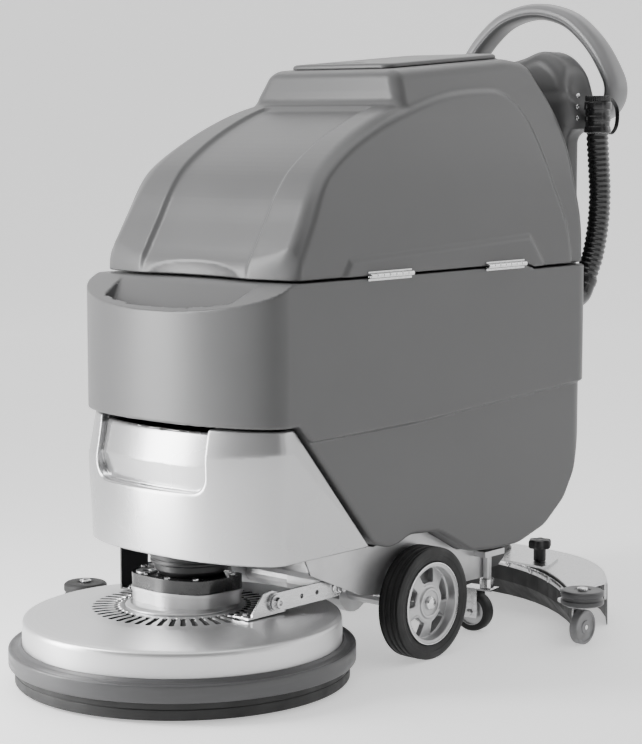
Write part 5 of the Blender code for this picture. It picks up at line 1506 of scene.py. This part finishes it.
class SCRUBBER_OT_squeegee(bpy.types.Operator):
    """Squeegee: bowed steel body, rubber blades, bridge, lift arm and vacuum port"""
    bl_idname = "scrubber.squeegee"
    bl_label = "Squeegee"

    def execute(self, context):
        steel, zinc, gum, paint = brushed_steel(), polished_steel(), blade_rubber(), black_paint()
        grey = ring_grey()
        x = np.linspace(-SHEET_HALF, SHEET_HALF, 81)
        front = np.stack([x, channel(x, True)], axis=1)
        rear = np.stack([x[::-1], channel(x[::-1], False)], axis=1)
        studs = [circle(s * STUD_X, STUD_Y, 0.0052) for s in (-1, 1)]
        plate("squeegee_top_sheet", np.vstack([front, rear]), SHEET_LOW, SHEET_HIGH, "Z",
              steel, "squeegee", holes=studs + [circle(*PORT[:2], 0.0158, 40)], edge=0.0010,
              replaces=["squeegee_body"], slot="stainless")
        wall = rounded(rectangle(-0.002, 0.0405, 0.002, 0.0790), 0.0010, 3)
        bow("squeegee_front_wall", SHEET_HALF, lambda v: channel(v, True) + 0.0021, wall, paint,
            "squeegee")
        bow("squeegee_rear_wall", SHEET_HALF, lambda v: channel(v, False) - 0.0021,
            rounded(rectangle(-0.002, 0.0485, 0.002, 0.0790), 0.0010, 3), steel, "squeegee")
        strip = rounded(rectangle(-0.0010, 0.0645, 0.0010, 0.0755), 0.0006, 3)
        bow("squeegee_clamp_strip", 0.300, lambda v: channel(v, True) - 0.0056, strip, zinc,
            "squeegee")
        for i, at in enumerate(np.linspace(-0.275, 0.275, 9)):
            slope = -3.44 * at
            long = math.hypot(1, slope)
            face = frame_matrix((at, channel(at, True) - 0.0065, 0.070),
                                (0, 0, 1), (-1 / long, -slope / long, 0),
                                (slope / long, -1 / long, 0))
            nut = bolt(f"clamp_bolt_{i}", (0, 0, 0), "Z", 1, 0.0046, 0.0036, zinc, "squeegee")
            moved(nut, face)
        given("blade_front", black_rubber())
        given("blade_rear", gum)
        for side, sign in (("right", 1), ("left", -1)):
            ear = np.array([(0.300, 0.262), (0.345, 0.232), (0.372, 0.236), (0.372, 0.262),
                            (0.345, 0.300), (0.300, 0.330)]) * (sign, 1)
            plate(f"squeegee_end_plate_{side}", rounded(ear, 0.006, 4), 0.0643, 0.0691, "Z", steel,
                  "squeegee", edge=0.0006)
            cheek = rounded([(0.238, 0.026), (0.262, 0.026), (0.264, 0.067), (0.236, 0.067)],
                            0.006, 4)
            low, high = sorted((sign * 0.3490, sign * 0.3520))
            plate(f"end_wheel_cheek_{side}", cheek, low, high, "X", steel, "squeegee", edge=0.0005)
            axle = [(0, sign * 0.350), (0.004, sign * 0.350), (0.004, sign * 0.3695),
                    (0, sign * 0.3695)]
            turned(f"end_wheel_axle_{side}", axle, (0, *END_WHEEL[1:]), "X", zinc, "squeegee",
                   steps=32)
            turned(f"end_roller_post_{side}",
                   [(0, 0.066), (0.006, 0.066), (0.006, 0.0958), (0.0095, 0.0960),
                    (0.0090, 0.0985), (0.0060, 0.0994), (0, 0.0994)],
                   (sign * ROLLER_X, ROLLER_Y, 0), "Z", zinc, "squeegee", steps=40)
            roller = [(0.0064, 0.0698), (0.0340, 0.0698), (0.0373, 0.0725), (0.0373, 0.0790),
                      (0.0350, 0.0800), (0.0350, 0.0850), (0.0373, 0.0862), (0.0373, 0.0928),
                      (0.0340, 0.0953), (0.0150, 0.0953), (0.0140, 0.0940), (0.0064, 0.0940)]
            turned(f"end_roller_{side}_grooved", roller, (sign * ROLLER_X, ROLLER_Y, 0), "Z", grey,
                   f"end_roller_{side}", rounding=0.0008, replaces=[f"end_roller_{side}"],
                   slot="bumper")
            wheel = [(0.0042, -0.0078), (0.0110, -0.0078), (0.0120, -0.0060), (0.0240, -0.0060),
                     (0.0250, -0.0078), (0.0288, -0.0078), (0.0300, -0.0062), (0.0300, 0.0062),
                     (0.0288, 0.0078), (0.0250, 0.0078), (0.0240, 0.0060), (0.0120, 0.0060),
                     (0.0110, 0.0078), (0.0042, 0.0078)]
            turned(f"end_wheel_{side}_tread", wheel, (sign * END_WHEEL[0], *END_WHEEL[1:]), "X",
                   caster_grey(), f"end_wheel_{side}", rounding=0.0005,
                   replaces=[f"end_wheel_{side}"], slot="squeegee_wheel")
            turned(f"squeegee_stud_{side}",
                   [(0, 0.0790), (0.0045, 0.0790), (0.0045, 0.1070), (0, 0.1072)],
                   (sign * STUD_X, STUD_Y, 0), "Z", zinc, "squeegee", steps=32)

            def star(px, py, pz, sx=sign * STUD_X):
                """Six-lobed star with rounded edges, a dished top and a centre cap."""
                r, turn = np.hypot(px - sx, py - STUD_Y), np.arctan2(py - STUD_Y, px - sx)
                head = soft_max((r - 0.0204 - 0.0022 * np.cos(6 * turn)) * 0.95,
                                np.abs(pz - 0.1172) - 0.0085, 0.006)
                dish = soft_max(r - 0.0125, 0.1240 - pz, 0.003)
                cap = soft_max(r - 0.0085, np.abs(pz - 0.1170) - 0.0085, 0.003)
                stem = soft_max(r - 0.0115, np.abs(pz - 0.0980) - 0.0125, 0.002)
                shape = soft_min(soft_max(head, -dish, 0.002), soft_min(cap, stem, 0.003), 0.001)
                bore = soft_max(r - 0.0050, pz - 0.1080, 0.001)
                return soft_max(shape, -bore, 0.0008)

            moulding(f"squeegee_knob_{side}_star", star, (sign * STUD_X - 0.026, 0.415, 0.082),
                     (sign * STUD_X + 0.026, 0.467, 0.129), black_satin(),
                     f"squeegee_knob_{side}", pitch=0.0011, replaces=[f"squeegee_knob_{side}"],
                     slot="black_moulding")
        turned("vacuum_port_spigot",
               [(0.0160, 0.078), (0.0160, 0.1150), (0.0192, 0.1150), (0.0200, 0.1140),
                (0.0200, 0.1085), (0.0192, 0.1075), (0.0192, 0.0880), (0.0215, 0.0850),
                (0.0215, 0.0805), (0.0165, 0.078)], PORT, "Z", black_gloss(), "squeegee")
        for node, mat in (("squeegee_bridge", steel), ("squeegee_arm", paint),
                          ("squeegee_bracket", paint)):
            given(node, mat)
        return {"FINISHED"}


class SCRUBBER_OT_inner_parts(bpy.types.Operator):
    """Chassis, transaxle, batteries, vacuum motor and float cage"""
    bl_idname = "scrubber.inner_parts"
    bl_label = "Chassis and Inner Parts"

    def execute(self, context):
        for node, mat in (("chassis_frame", cast_metal()), ("transaxle", cast_metal()),
                          ("battery_front", battery_case()), ("battery_rear", battery_case()),
                          ("vacuum_motor", cast_metal()), ("float_cage", button_grey())):
            given(node, mat)
        return {"FINISHED"}


# ---------------------------------------------------------------- add-on
OPERATORS = (SCRUBBER_OT_studio, SCRUBBER_OT_drain_hose, SCRUBBER_OT_tanks,
             SCRUBBER_OT_front_cover, SCRUBBER_OT_tank_lid, SCRUBBER_OT_hinges,
             SCRUBBER_OT_console, SCRUBBER_OT_handle, SCRUBBER_OT_brush_deck,
             SCRUBBER_OT_brush_drive, SCRUBBER_OT_lift_arms, SCRUBBER_OT_side_roller,
             SCRUBBER_OT_drive_wheels, SCRUBBER_OT_casters, SCRUBBER_OT_squeegee,
             SCRUBBER_OT_inner_parts)


class SCRUBBER_PT_pieces(bpy.types.Panel):
    """Pieces of the floor scrubber, with the sizes and colours that they take"""
    bl_idname = "SCRUBBER_PT_pieces"
    bl_label = "Floor Scrubber"
    bl_space_type = "VIEW_3D"
    bl_region_type = "UI"
    bl_category = "Scrubber"

    def draw(self, context):
        layout = self.layout
        for group in (context.scene.scrubber_sizes, context.scene.scrubber_colours):
            for name in group.bl_rna.properties.keys():
                if name not in ("rna_type", "name"):
                    layout.prop(group, name)
        for operator in OPERATORS:
            layout.operator(operator.bl_idname)


CLASSES = (ScrubberSizes, ScrubberColours, *OPERATORS, SCRUBBER_PT_pieces)


def register():
    for cls in CLASSES:
        bpy.utils.register_class(cls)
    bpy.types.Scene.scrubber_sizes = PointerProperty(type=ScrubberSizes)
    bpy.types.Scene.scrubber_colours = PointerProperty(type=ScrubberColours)


def unregister():
    del bpy.types.Scene.scrubber_colours
    del bpy.types.Scene.scrubber_sizes
    for cls in reversed(CLASSES):
        bpy.utils.unregister_class(cls)


def main():
    """Register the add-on and build every piece."""
    register()
    for operator in OPERATORS:
        group, name = operator.bl_idname.split(".")
        getattr(getattr(bpy.ops, group), name)()


if __name__ == "__main__":
    main()
